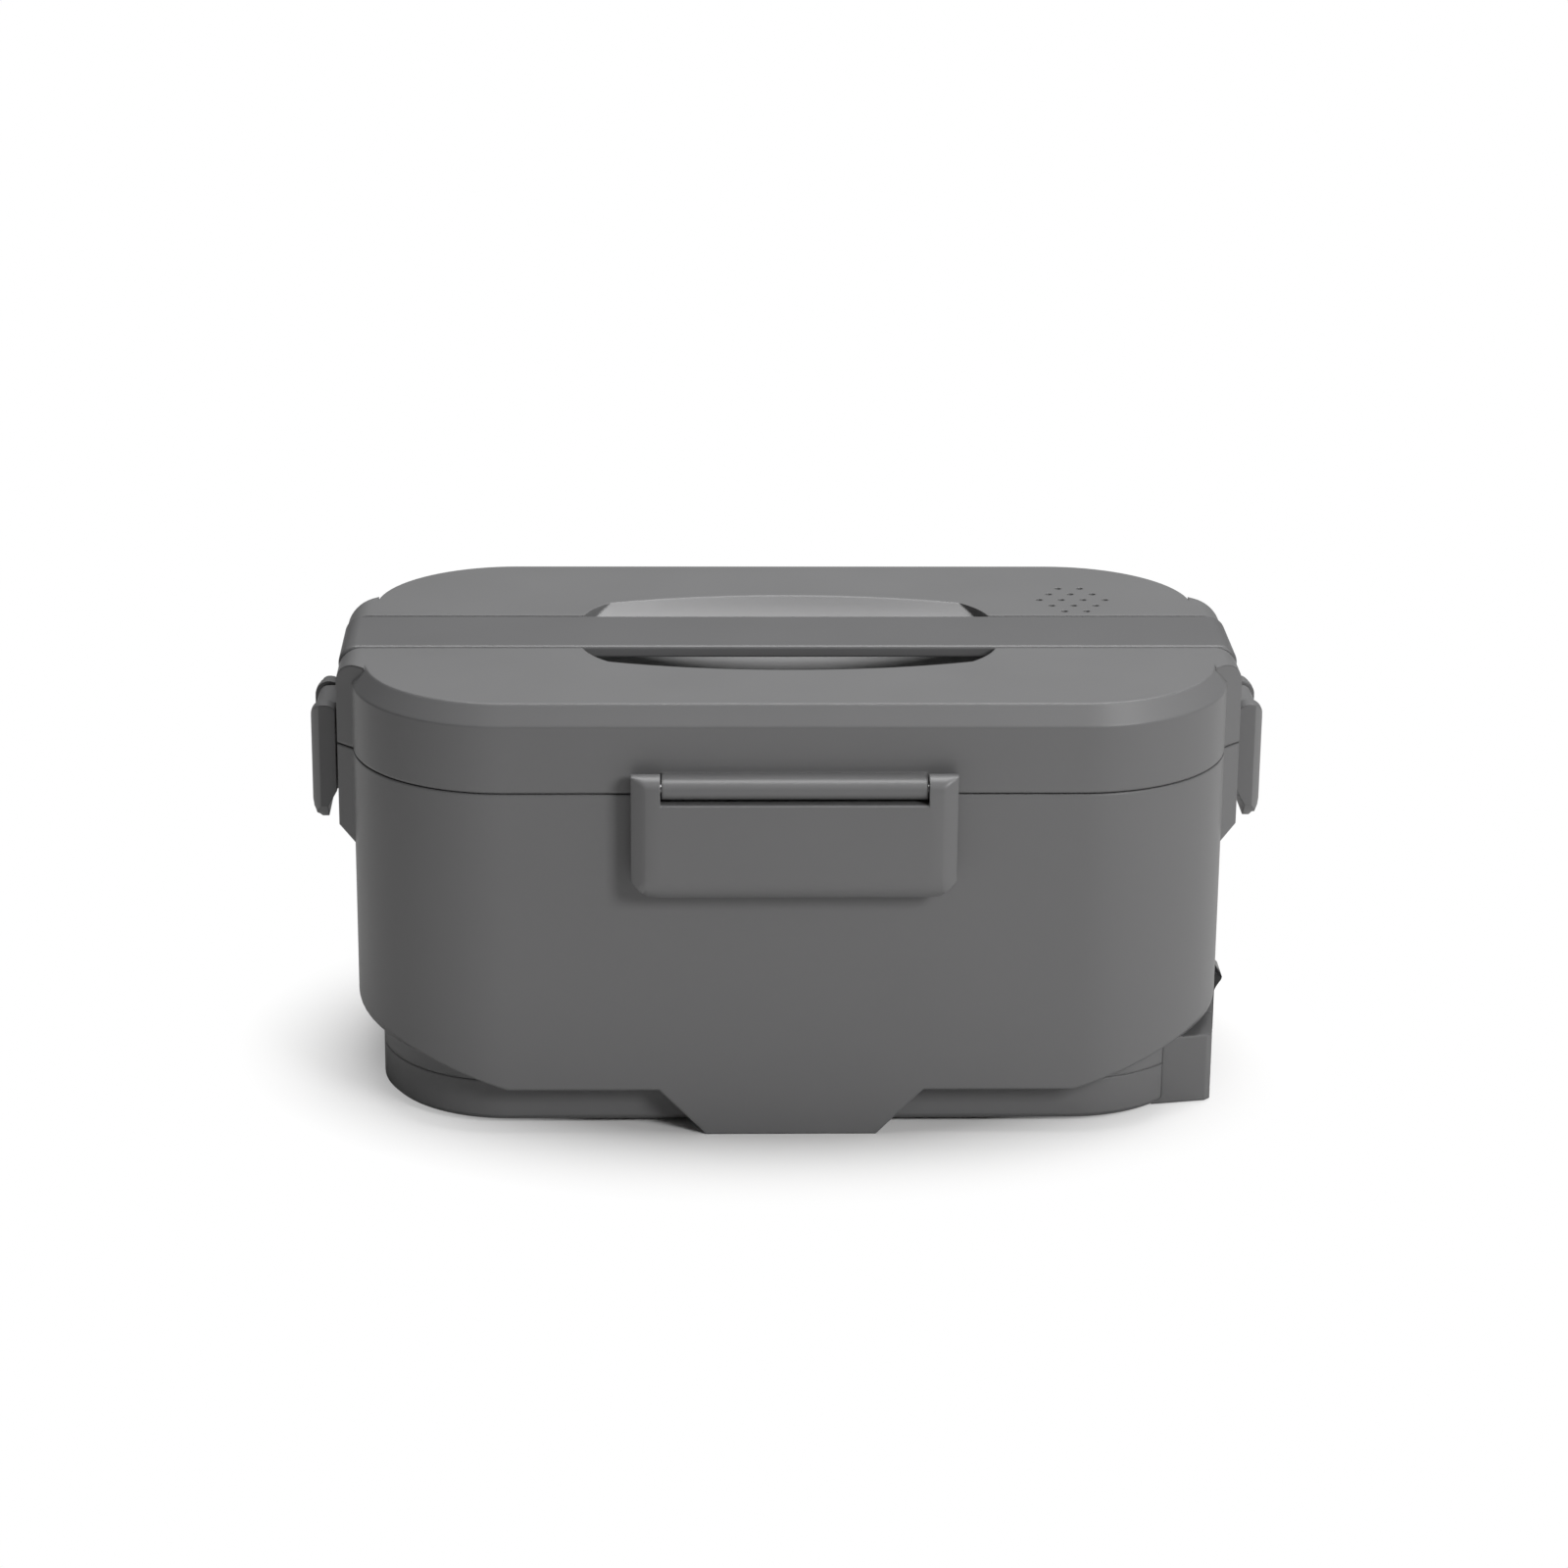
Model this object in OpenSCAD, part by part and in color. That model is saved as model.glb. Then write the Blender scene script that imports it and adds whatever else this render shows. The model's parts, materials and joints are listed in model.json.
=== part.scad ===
// Electric lunch box: a heated outer body, a lift-out steel food container and a lift-off lid
// held by four latches, with a pull-up strap handle across the lid.
// Millimetres. X runs to the right, Y to the back, Z up. The origin is at the middle of the
// rectangle that the box stands on, at table height.

/* [Overall form] */
// Width of the body and the lid, without the side pads
body_w = 214; // [207:1:234]
// Depth of the body and the lid
body_d = 122; // [118:1:140]
// Plan radius of the vertical corners
corner_r = 38; // [34:1:42]
// Height of the parting line between body and lid
seam_z = 88; // [86:1:105]
// Height of the lid above the parting line
lid_h = 21.5; // [20.5:0.5:28]
// Gap of the parting line
seam_gap = 0.4; // [0.4:0.1:1]

/* [Outer shell] */
// Wall of the outer shell and the lid
wall = 2.4; // [2:0.1:3]
// Height of the lower edge of the shell's front and back
skirt_z = 11.7; // [10:0.1:13]
// Height of the shell's lower edge at its left and right ends
skirt_end_z = 25; // [22:0.5:25]
// How far the walls behind that edge turn in
turn_in = 6; // [4:0.1:6]
// Half width of the centre foot where it leaves the skirt
foot_top_half = 32.2; // [28:0.1:40]
// Half width of the centre foot where it stands
foot_sole_half = 20.7; // [15:0.1:26]
// Thickness of the centre foot
foot_t = 5.6; // [4:0.1:5.8]
// Width of the ledge that carries the chamber liner
ledge_w = 3; // [2:0.1:4]
// Height of that ledge
ledge_h = 3; // [2:0.1:5]
// Radius of the screw posts inside the shell
post_r = 4.5; // [4:0.1:5.5]
// Height of the screw posts inside the shell
post_h = 11; // [9:0.5:11.5]

/* [Side pads] */
// How far the side pads stand proud of the body
pad_proud = 4; // [3.2:0.1:4.2]
// Half length of the flat face of a side pad
pad_half = 22.6; // [20:0.1:23]
// Length over which the ends of a pad slope away
pad_slope = 4; // [2:0.5:6]
// How far the pad reaches below the parting line
pad_drop = 26; // [22:1:35]
// Radius of the pad's upper edge
pad_round_r = 6; // [5:0.5:7]
// Height of the slope under the pad
pad_chamfer = 5; // [3:0.5:8]

/* [Lid] */
// Width of the bevel round the lid's top
bevel_in = 3.3; // [2:0.1:5]
// Height of the bevel round the lid's top
bevel_h = 4.8; // [3:0.1:7]
// Distance from the lid's ends to where the finger recess's long arcs would close
dish_in = 32; // [22:1:45]
// Distance from the lid's ends to the recess's round ends
dish_end_in = 55.3; // [53:0.1:61]
// Half width of the finger recess
dish_half_w = 31.5; // [26:0.5:38]
// Depth of the finger recess
dish_depth = 13; // [10:0.5:14]
// Distance of the steam holes from the middle, to the right
vent_x = 73.5; // [68:0.5:78]
// Distance of the steam holes from the middle, to the back
vent_y = 27.5; // [26:0.5:31]
// Radius of one steam hole
vent_hole_r = 0.8; // [0.5:0.1:1]
// Distance between steam holes in a row
vent_step_x = 5.6; // [4:0.1:6.5]
// Distance between rows of steam holes
vent_step_y = 5; // [3.5:0.1:5.4]
// Thickness of the inner lid plate
inner_plate_t = 1.6; // [1.2:0.1:2.4]
// Height of the sealing ring
seal_h = 2; // [1.5:0.1:3]
// Width of the sealing ring
seal_w = 8; // [6:0.5:9]
// Distance of the lid screws from the lid's ends
lid_screw_in = 22; // [21:0.5:24]
// Distance of the lid screws from the middle, front and back
lid_screw_y = 19; // [17:0.5:20]

/* [Handle] */
// Width of the strap handle
handle_w = 25.6; // [22:0.1:26]
// Thickness of the strap over the lid
strap_t = 3; // [2.8:0.1:3.6]
// Thickness of the arms at the sides
arm_t = 2.9; // [2.6:0.1:3]
// How far the strap stands above the lid
strap_proud = 0.2; // [0.1:0.1:1]
// Outer radius of the strap where it turns down
strap_bend_r = 4.5; // [4:0.5:6]
// Gap beside the strap
strap_gap = 0.8; // [0.5:0.1:1]
// Height of the stop at the foot of each arm
stop_h = 2.4; // [2:0.1:2.6]
// How far the stop stands out beside the arm
stop_side = 2.8; // [2.4:0.1:3.2]
// Thickness of the stop
stop_t = 1.4; // [1.2:0.1:1.6]
// Half width of the fork that leaves room for the side hinge
fork_half = 7.6; // [7.4:0.1:8.2]
// How far the handle pulls up
handle_travel = 12; // [8:0.5:12]

/* [Latches] */
// Length of the front and rear latches
long_latch_l = 77.6; // [60:0.1:90]
// Length of the side latches
side_latch_l = 24; // [22:0.1:24.4]
// Width of the ears of the front and rear latches
long_ear_w = 7; // [5:0.1:9]
// Width of the ears of the side latches
side_ear_w = 4.7; // [4.7:0.1:5.2]
// Gap between a latch and the face behind it
latch_stand = 3.5; // [3.2:0.1:4]
// Thickness of a latch
latch_t = 4; // [3.5:0.1:5]
// Height of the hinge pins above the parting line
hinge_up = 2.7; // [2.6:0.1:3.4]
// Distance of the hinge pins from the face behind them
hinge_out = 4; // [3.8:0.1:4.2]
// How far the latches reach below the parting line
latch_drop = 24.3; // [21:0.1:26]
// Radius of the latch ears
ear_r = 3.5; // [3.3:0.1:3.6]
// Radius of the hinge barrels
barrel_r = 2.6; // [2.4:0.1:2.7]
// Gap between the hinge barrel and the latch plate
latch_slot = 0.6; // [0.5:0.1:2]
// Radius of the hinge pins
hinge_pin_r = 1.1; // [0.9:0.1:1.5]
// How far a catch rib stands out of the body
catch_out = 2.4; // [1.8:0.1:2.6]
// Height of a catch rib
catch_h = 3; // [2:0.1:4]
// How far the underside of a catch rib lies below the parting line
catch_drop = 15.1; // [14:0.1:16]

/* [Base] */
// How far the base is set in from the shell at the sides
base_in_x = 6; // [6:0.1:7]
// How far the base is set in from the shell at the front and back
base_in_y = 6; // [6:0.1:7]
// Plan radius of the base's corners
base_r = 32; // [30:1:33]
// Height of the base's underside above the table
base_lift = 1.2; // [0.8:0.1:2]
// Thickness of the base's floor
base_floor_t = 2.2; // [1.8:0.1:3]
// Width of the chamfer under the base
base_chamfer = 1.2; // [1:0.1:2.2]
// Radius of the rubber feet
rubber_r = 6; // [4:0.5:8]
// Distance of the rubber feet from the middle, left and right
rubber_x = 68; // [50:1:75]
// Distance of the rubber feet from the middle, front and back
rubber_y = 34; // [25:1:40]
// Height of the standoffs that carry the heat shield
standoff_h = 5.6; // [4:0.1:6]

/* [Heating chamber] */
// Distance of the chamber liner from the shell's left and right faces
liner_in_x = 15; // [15:0.5:19]
// Distance of the chamber liner from the shell's front and back faces
liner_in_y = 11.5; // [10.5:0.5:13]
// Plan radius of the liner's corners
liner_r = 24; // [20:1:30]
// Wall of the chamber liner
liner_t = 1.6; // [1.2:0.1:2]
// Height of the underside of the liner's floor
liner_z = 24; // [23:0.5:30]
// Distance of the heating plate from the liner's left and right faces
plate_in_x = 8; // [6:0.5:12]
// Distance of the heating plate from the liner's front and back faces
plate_in_y = 11.5; // [8:0.5:13]
// Thickness of the heating plate
plate_t = 2.4; // [2:0.1:4]
// Length of the heater
heater_l = 90; // [70:1:92]
// Width of the heater
heater_w = 36; // [28:1:38]
// Thickness of the heater
heater_t = 6; // [4:0.5:6.5]
// Width of the opening under the heating plate
window_w = 130; // [126:1:140]
// Depth of the opening under the heating plate
window_d = 56; // [54:1:60]

/* [Food container] */
// Gap between the container and the liner's wall
container_gap = 1.4; // [1:0.1:3]
// Sheet thickness of the container
sheet_t = 0.8; // [0.6:0.1:1.2]
// Width of the container's rim
rim_w = 7.5; // [6:0.5:8]

/* [Socket and switch] */
// Half length of the socket housing at its outer end
housing_half = 42; // [38:0.5:42.5]
// How much wider the socket housing is where it meets the base
housing_flare = 2.4; // [0:0.1:2.6]
// Height of the socket housing's shoulder
housing_z = 18; // [17:0.5:20]
// Half length of the socket panel
panel_half = 27; // [26:0.5:28]
// Height of the socket panel
panel_z = 35; // [34:1:40]
// Place of the switch along the panel
switch_y = -16.5; // [-17:0.5:-16]
// Height of the middle of the switch
switch_z = 20.5; // [20:0.5:22]
// Place of the inlet along the panel
inlet_y = 9; // [8:0.5:11]
// Height of the middle of the inlet
inlet_z = 19; // [17:0.5:20]
// Distance between the two inlet pins
inlet_pitch = 8.6; // [8:0.1:9]
// Radius of the inlet pins
inlet_pin_r = 1.2; // [1:0.1:1.3]
// Radius of the swing of the rocker's ends
rocker_r = 7.4; // [7:0.1:7.5]
// Tilt of the rocker between its two positions
rocker_tilt = 24; // [20:1:26]

/* [Hidden] */
$fn = 64;

// Clearances
face_gap = 0.3;
pin_gap = 0.05;
over = 1;

// Heights
lid_top = seam_z + lid_h;
lid_bottom = seam_z + seam_gap / 2;
shell_top = seam_z - seam_gap / 2;
lid_roof = lid_top - wall;

// Shell
pad_x = body_w / 2 + pad_proud;
base_w = body_w - 2 * base_in_x;
base_d = body_d - 2 * base_in_y;
inner_w = body_w - 2 * wall;
inner_d = body_d - 2 * wall;
inner_r = corner_r - wall;
pad_root = body_w / 2 - wall + 0.1;
liner_rim_t = 1.8;
ledge_top = shell_top - liner_rim_t - 0.2;
turn_top = skirt_end_z - 0.2;
turn_h = turn_top - skirt_z - 4.5;
turn_lift = 1.2;
turn_steps = 8;
flange_t = 2.2;
flange_z = skirt_z;
post_turn = 66;
post_reach = base_r - post_r - 1.6;
post_x = base_w / 2 - base_r + post_reach * cos(post_turn);
post_y = base_d / 2 - base_r + post_reach * sin(post_turn);

// Base
base_top = flange_z - 0.1;
base_wall = 2.2;
base_floor_top = base_lift + base_floor_t;
lip_h = 3.5;
lip_t = 2;
lip_end = 16;
screw_r = 1.5;
screw_head_r = 2.9;
screw_head_h = 2;
tower_r = post_r;
head_seat_z = base_floor_top + 1;

// Rubber feet
rubber_stem_r = 2;
rubber_head_r = 2.8;
rubber_head_h = 1.2;

// Chamber
liner_w = body_w - 2 * liner_in_x;
liner_d = body_d - 2 * liner_in_y;
liner_floor_top = liner_z + liner_t;
plate_w = liner_w - 2 * plate_in_x;
plate_d = liner_d - 2 * plate_in_y;
plate_top = liner_floor_top + plate_t;
plate_r = 14;
window_r = 8;
plate_screw_in = 10;
plate_screw_x = (window_w + plate_w) / 4;
plate_screw_y = plate_d / 2 - plate_screw_in;
heater_bottom = liner_floor_top - heater_t;
clamp_t = 1.2;
clamp_w = 14;
clamp_screw_y = (heater_w / 2 + window_d / 2) / 2;
thermostat_r = 7.8;
thermostat_h = 9;
thermostat_x = -(heater_l / 2 + thermostat_r + 1.6);
tab_w = 4.8;
tab_t = 0.8;
tab_l = 6;
fuse_r = 2.1;
fuse_l = 11;
fuse_gap = 10;
fuse_x = heater_l / 2 + fuse_gap;
fuse_z = liner_floor_top - fuse_r - 0.1;
shield_w = 150;
shield_d = 70;
shield_t = 0.8;
shield_z = base_floor_top + standoff_h;
standoff_x = 45;
standoff_y = 24;
standoff_r = 3;

// Container
container_w = liner_w - 2 * liner_t - 2 * container_gap;
container_d = liner_d - 2 * liner_t - 2 * container_gap;
container_r = liner_r - liner_t - container_gap;
container_z = plate_top + face_gap;
rim_z = shell_top - 0.2 + face_gap;
rim_top = rim_z + sheet_t;

// Lid
seal_z = rim_top + 0.2;
inner_plate_z = seal_z + seal_h;
inner_plate_top = inner_plate_z + inner_plate_t;
inner_plate_edge = 3.4;
inner_plate_w = inner_w - 2 * inner_plate_edge;
inner_plate_d = inner_d - 2 * inner_plate_edge;
seal_outer_w = container_w + 2 * rim_w + 2;
seal_outer_d = container_d + 2 * rim_w + 2;
seal_outer_r = container_r + rim_w + 1;
lid_post_r = 4;
lid_screw_hole = 9;
lid_screw_x = body_w / 2 - lid_screw_in;
valve_r = 5;
valve_stem_r = 2.4;
channel_floor = lid_top + strap_proud - strap_t - face_gap;
channel_half = handle_w / 2 + strap_gap;
channel_skin = 2.2;
dish_mid_r = (pow(dish_half_w, 2) + pow(dish_depth, 2)) / (2 * dish_depth);
dish_half_l = body_w / 2 - dish_in;
dish_end = body_w / 2 - dish_end_in;
dish_arc_r = (pow(dish_half_l, 2) + pow(dish_depth, 2)) / (2 * dish_depth);
dish_corner_r = 24;

// Handle
arm_foot = lid_bottom + 0.7;
arm_inner_x = pad_x - arm_t;
slot_x = arm_inner_x - face_gap;
pocket_half = handle_w / 2 + stop_side + 0.4;
pocket_top = arm_foot + stop_h + handle_travel + face_gap;
fork_gap = 1.1;

// Latches
hinge_z = seam_z + hinge_up;
latch_z = seam_z - latch_drop;
plate_edge_z = hinge_z - barrel_r - latch_slot;
fork_top = hinge_z + barrel_r + fork_gap;
ear_back = 1.2;
latch_rib_t = 1.7;
pin_cap = 1.6;
ear_gap = 0.3;
catch_z = seam_z - catch_drop;
hook_h = 2.4;
hook_gap = 0.4;
latch_corner = 4;
latch_chamfer_out = 2.3;
latch_chamfer_up = 4.2;
latch_side_out = 2.3;
latch_side_run = 3.5;
catch_end = 10;
side_catch_end = 6;

// Socket housing
panel_x = body_w / 2 - face_gap;
shoulder_x = body_w / 2 - 2;
housing_back_x = base_w / 2 - 11;
housing_wall = 2.2;
housing_foot_z = 0.4;
bezel_t = 1.5;
switch_bezel_t = 0.6;
switch_half_w = 6.4;
switch_half_h = 8.2;
bezel_half_w = 7.5;
bezel_half_h = 8.9;
rocker_half_w = 5.6;
rocker_pivot_x = panel_x - 2.7;
rocker_face = 3.4;
rocker_back = 3;
rocker_pin_r = 1.2;
switch_back_x = panel_x - 13.8;
terminal_low = -5.5;
terminal_high = -0.5;
inlet_half_w = 9.5;
inlet_half_h = 6.4;
inlet_lobe_r = 4.5;
inlet_lobe_y = 2.8;
inlet_depth = 12;
inlet_back_x = panel_x - 14;
inlet_pin_l = 9.5;
inlet_tail = 4;

// Wires
wire_r = 1.1;
wire_sides = 8;
wire_steps = 5;
solder_gap = 0.3;
terminal_x = switch_back_x - tab_l;
inlet_tail_x = inlet_back_x - inlet_tail;
thermostat_bottom = liner_floor_top - thermostat_h;
tab_bottom = thermostat_bottom - tab_l;
heater_lead_y = 10;
heater_lead_x = heater_l / 2 + 0.1;
heater_lead_z = heater_bottom + heater_t / 2;
low_tab_z = switch_z + terminal_low;
high_tab_z = switch_z + terminal_high;
thermostat_tab_y = 5;
thermostat_wire_y = thermostat_tab_y + tab_t / 2;
thermostat_wire_z = tab_bottom + 2;
inlet_wire_y = inlet_pitch / 2;
fuse_end = fuse_l / 2;
route_live_in = [[inlet_tail_x, inlet_y - inlet_wire_y, inlet_z],
    [inlet_tail_x - 3, inlet_y - inlet_wire_y, inlet_z],
    [inlet_tail_x - 6, inlet_y - inlet_wire_y - 1.5, inlet_z - 0.6], [inlet_tail_x - 9, -2, low_tab_z],
    [terminal_x - 8, -9, low_tab_z - 0.5], [terminal_x - 6, -14, low_tab_z],
    [terminal_x - 3, switch_y, low_tab_z], [terminal_x, switch_y, low_tab_z]];
route_live_out = [[terminal_x, switch_y, high_tab_z], [terminal_x - 3, switch_y, high_tab_z],
    [terminal_x - 9, switch_y - 3, high_tab_z - 4], [62, -26, 13], [40, -29, 12.5], [0, -30, 12.5],
    [-35, -26, 12.5], [thermostat_x + 5, -16, 12.5], [thermostat_x, -10, thermostat_wire_z],
    [thermostat_x, -thermostat_wire_y, thermostat_wire_z]];
route_heater_link = [[thermostat_x, thermostat_wire_y, thermostat_wire_z],
    [thermostat_x, thermostat_wire_y + 3.5, thermostat_wire_z], [thermostat_x + 1.5, 13, 15],
    [thermostat_x + 3, 13.5, 19], [-heater_lead_x - 4.5, 11.4, heater_lead_z - 0.8],
    [-heater_lead_x - 2.5, heater_lead_y, heater_lead_z],
    [-heater_lead_x, heater_lead_y, heater_lead_z]];
route_neutral = [[inlet_tail_x, inlet_y + inlet_wire_y, inlet_z],
    [inlet_tail_x - 3, inlet_y + inlet_wire_y, inlet_z],
    [inlet_tail_x - 6.5, inlet_y + inlet_wire_y + 1, inlet_z - 0.6], [76, 18, 17], [66, 20, 15],
    [fuse_x + 3, 14, fuse_z - 3.5], [fuse_x, fuse_end + 3, fuse_z], [fuse_x, fuse_end, fuse_z]];
route_fuse_link = [[fuse_x, -fuse_end, fuse_z], [fuse_x, -fuse_end - 2.5, fuse_z],
    [fuse_x - 2.2, -heater_lead_y + 0.2, fuse_z - 0.4],
    [heater_lead_x + 3, -heater_lead_y, heater_lead_z],
    [heater_lead_x, -heater_lead_y, heater_lead_z]];

// Outline of a rectangle with round corners
module round_rect(w, d, r) {
    square([w - 2 * r, d], center = true);
    square([w, d - 2 * r], center = true);
    for (sx = [-1, 1], sy = [-1, 1]) translate([sx * (w / 2 - r), sy * (d / 2 - r)]) circle(r);
}

// Upright block on a round rectangle
module round_block(w, d, r, z0, z1) {
    translate([0, 0, z0]) linear_extrude(z1 - z0) round_rect(w, d, r);
}

// Round block whose upper edge is bevelled, its corners as cones
module bevelled_block(w, d, r, z0, z1, step_in, step_up) {
    round_block(w, d, r, z0, z1 - step_up);
    translate([0, 0, z1 - step_up]) {
        rotate([90, 0, 0]) linear_extrude(d - 2 * r, center = true) bevel_profile(w, step_in, step_up);
        rotate([90, 0, 90]) linear_extrude(w - 2 * r, center = true) bevel_profile(d, step_in, step_up);
        for (sx = [-1, 1], sy = [-1, 1]) translate([sx * (w / 2 - r), sy * (d / 2 - r), 0])
            cylinder(h = step_up, r1 = r, r2 = r - step_in);
    }
}

// Trapezium with its long side at the bottom
module bevel_profile(w, step_in, step_up) {
    polygon([[-w / 2, 0], [w / 2, 0], [w / 2 - step_in, step_up], [-w / 2 + step_in, step_up]]);
}

// Children turned so that their front faces each side of the box; -Y is outwards before the turn
module at_front() { translate([0, -body_d / 2, 0]) children(); }
module at_rear() { rotate([0, 0, 180]) translate([0, -body_d / 2, 0]) children(); }
module at_right() { rotate([0, 0, 90]) translate([0, -pad_x, 0]) children(); }
module at_left() { rotate([0, 0, -90]) translate([0, -pad_x, 0]) children(); }

// A profile drawn outwards and upwards, run along the face for a length
module along_face(length) {
    rotate([90, 0, -90]) linear_extrude(length, center = true) children();
}

// Outline from the front of the shell above its lower edge, which rises round the corners
module skirt_outline(lift) {
    half = body_w / 2;
    polygon([[-half, skirt_end_z + lift], [corner_r - half, skirt_z + lift],
        [half - corner_r, skirt_z + lift], [half, skirt_end_z + lift],
        [half, shell_top + over], [-half, shell_top + over]]);
}

// Points down one turned-in side, for a wall that stands at half above the turn
function turn_points(half, lift, low) = concat([[half, turn_top + lift + over]],
    [for (k = [0 : turn_steps]) let (t = k / turn_steps)
        [half - turn_in * t * t, turn_top + lift - turn_h * t]],
    [[half - turn_in, low]]);

// Outline with both sides turned in
module turned_outline(half, lift, low) {
    points = turn_points(half, lift, low);
    polygon(concat(points, [for (i = [len(points) - 1 : -1 : 0]) [-points[i][0], points[i][1]]]));
}

// Round block whose walls turn in at the bottom, on all sides and round the corners
module turned_block(w, d, r, lift, low) {
    rotate([90, 0, 0]) linear_extrude(d - 2 * r, center = true) turned_outline(w / 2, lift, low);
    rotate([90, 0, 90]) linear_extrude(w - 2 * r, center = true) turned_outline(d / 2, lift, low);
    for (sx = [-1, 1], sy = [-1, 1]) translate([sx * (w / 2 - r), sy * (d / 2 - r), 0])
        rotate_extrude() polygon(concat(turn_points(r, lift, low),
            [[0, low], [0, turn_top + lift + over]]));
}

// Plan of one side pad, on the right
module pad_plan(root_x) {
    run = pad_slope * (pad_x - root_x) / pad_proud;
    polygon([[root_x, -pad_half - run], [pad_x, -pad_half], [pad_x, pad_half],
        [root_x, pad_half + run]]);
}

// Both side pads between two heights
module side_pads(root_x, z0, z1) {
    for (s = [0, 1]) mirror([s, 0, 0]) translate([0, 0, z0]) linear_extrude(z1 - z0) pad_plan(root_x);
}

// The pads of the body, sloped underneath
module body_pads() {
    reach = pad_x + over;
    root = body_w / 2 - wall;
    low = shell_top - pad_drop;
    intersection() {
        side_pads(pad_root, low, shell_top);
        rotate([90, 0, 0]) linear_extrude(body_d, center = true) polygon([[-root, low],
            [root, low], [pad_x, low + pad_chamfer], [reach, low + pad_chamfer],
            [reach, shell_top], [-reach, shell_top], [-reach, low + pad_chamfer],
            [-pad_x, low + pad_chamfer]]);
    }
}

// Outline of a block with round upper corners
module arched_outline(half, top, r, low) {
    translate([-half, low]) square([2 * half, top - r - low]);
    translate([r - half, low]) square([2 * (half - r), top - low]);
    for (s = [-1, 1]) translate([s * (half - r), top - r]) circle(r);
}

// The pads of the lid, rounded at the top, where they reach in as far as the lid's bevel
module lid_pads() {
    intersection() {
        union() {
            side_pads(pad_root, lid_bottom, lid_top);
            side_pads(body_w / 2 - bevel_in - 0.2, lid_top - bevel_h - 0.2, lid_top);
        }
        rotate([90, 0, 0]) linear_extrude(body_d, center = true)
            arched_outline(pad_x, lid_top, pad_round_r, lid_bottom);
    }
}

// Rib that a latch hooks under
module catch_rib(length) {
    translate([0, 0, catch_z]) along_face(length)
        polygon([[-0.2, 0], [catch_out, 0], [catch_out, catch_h - 1.2], [catch_out - 1.2, catch_h],
            [-0.2, catch_h]]);
}

// Centre foot that runs down from the skirt
module centre_foot() {
    rotate([90, 0, 0]) linear_extrude(foot_t) polygon([[-foot_top_half, skirt_z],
        [-foot_sole_half, 0], [foot_sole_half, 0], [foot_top_half, skirt_z],
        [foot_top_half, skirt_z + over], [-foot_top_half, skirt_z + over]]);
}

module body_shell() color("dimgray") {
    difference() {
        union() {
            intersection() {
                round_block(body_w, body_d, corner_r, skirt_z, shell_top);
                rotate([90, 0, 0]) linear_extrude(body_d + over, center = true) skirt_outline(0);
            }
            turned_block(body_w, body_d, corner_r, 0, skirt_z);
            body_pads();
            at_front() catch_rib(long_latch_l - 2 * catch_end);
            at_rear() catch_rib(long_latch_l - 2 * catch_end);
            at_right() catch_rib(side_latch_l - 2 * side_catch_end);
            at_left() catch_rib(side_latch_l - 2 * side_catch_end);
            for (turn = [0, 180]) rotate([0, 0, turn])
                translate([0, -body_d / 2 + foot_t, 0]) centre_foot();
        }
        difference() {
            union() {
                intersection() {
                    round_block(inner_w, inner_d, inner_r, skirt_z, shell_top + over);
                    rotate([90, 0, 0]) linear_extrude(body_d, center = true) skirt_outline(wall);
                }
                turned_block(inner_w, inner_d, inner_r, turn_lift, skirt_z - over);
            }
            // the ledge that the chamber liner hangs on
            difference() {
                round_block(body_w, body_d, corner_r, ledge_top - ledge_h, ledge_top);
                round_block(inner_w - 2 * ledge_w, inner_d - 2 * ledge_w, inner_r - ledge_w,
                    ledge_top - ledge_h - over, ledge_top + over);
            }
            // the flange that stands on the base, with the screw posts on it
            difference() {
                union() {
                    round_block(body_w, body_d, corner_r, flange_z, flange_z + flange_t);
                    for (sx = [-1, 1], sy = [-1, 1]) translate([sx * post_x, sy * post_y, flange_z])
                        cylinder(h = post_h, r = post_r);
                }
                difference() {
                    round_block(base_w - 2 * base_wall - 1, base_d - 2 * base_wall - 1,
                        base_r - base_wall - 0.5, flange_z - over, flange_z + flange_t + over);
                    for (sx = [-1, 1], sy = [-1, 1]) translate([sx * post_x, sy * post_y, flange_z])
                        cylinder(h = post_h, r = post_r);
                }
            }
            // the centre feet close the space behind the skirt
            for (turn = [0, 180]) rotate([0, 0, turn])
                translate([0, -body_d / 2 + foot_t, 0]) centre_foot();
        }
        for (sx = [-1, 1], sy = [-1, 1]) translate([sx * post_x, sy * post_y, flange_z - over])
            cylinder(h = post_h, r = screw_r + pin_gap);
        housing_cut();
        translate([switch_back_x - face_gap, -panel_half - face_gap, flange_z - over])
            cube([body_w / 2 - switch_back_x, 2 * (panel_half + face_gap),
                panel_z + face_gap - flange_z + over]);
    }
}

// Room for the socket housing and its panel
module housing_cut() {
    low_half = housing_half + housing_flare + face_gap;
    high_half = panel_half + face_gap;
    reach = body_w / 2 - housing_back_x + over;
    translate([housing_back_x - face_gap, -low_half, -over])
        cube([reach, 2 * low_half, housing_z + face_gap + over]);
    translate([housing_back_x - face_gap, -high_half, 0])
        cube([reach, 2 * high_half, panel_z + face_gap]);
}

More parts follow.
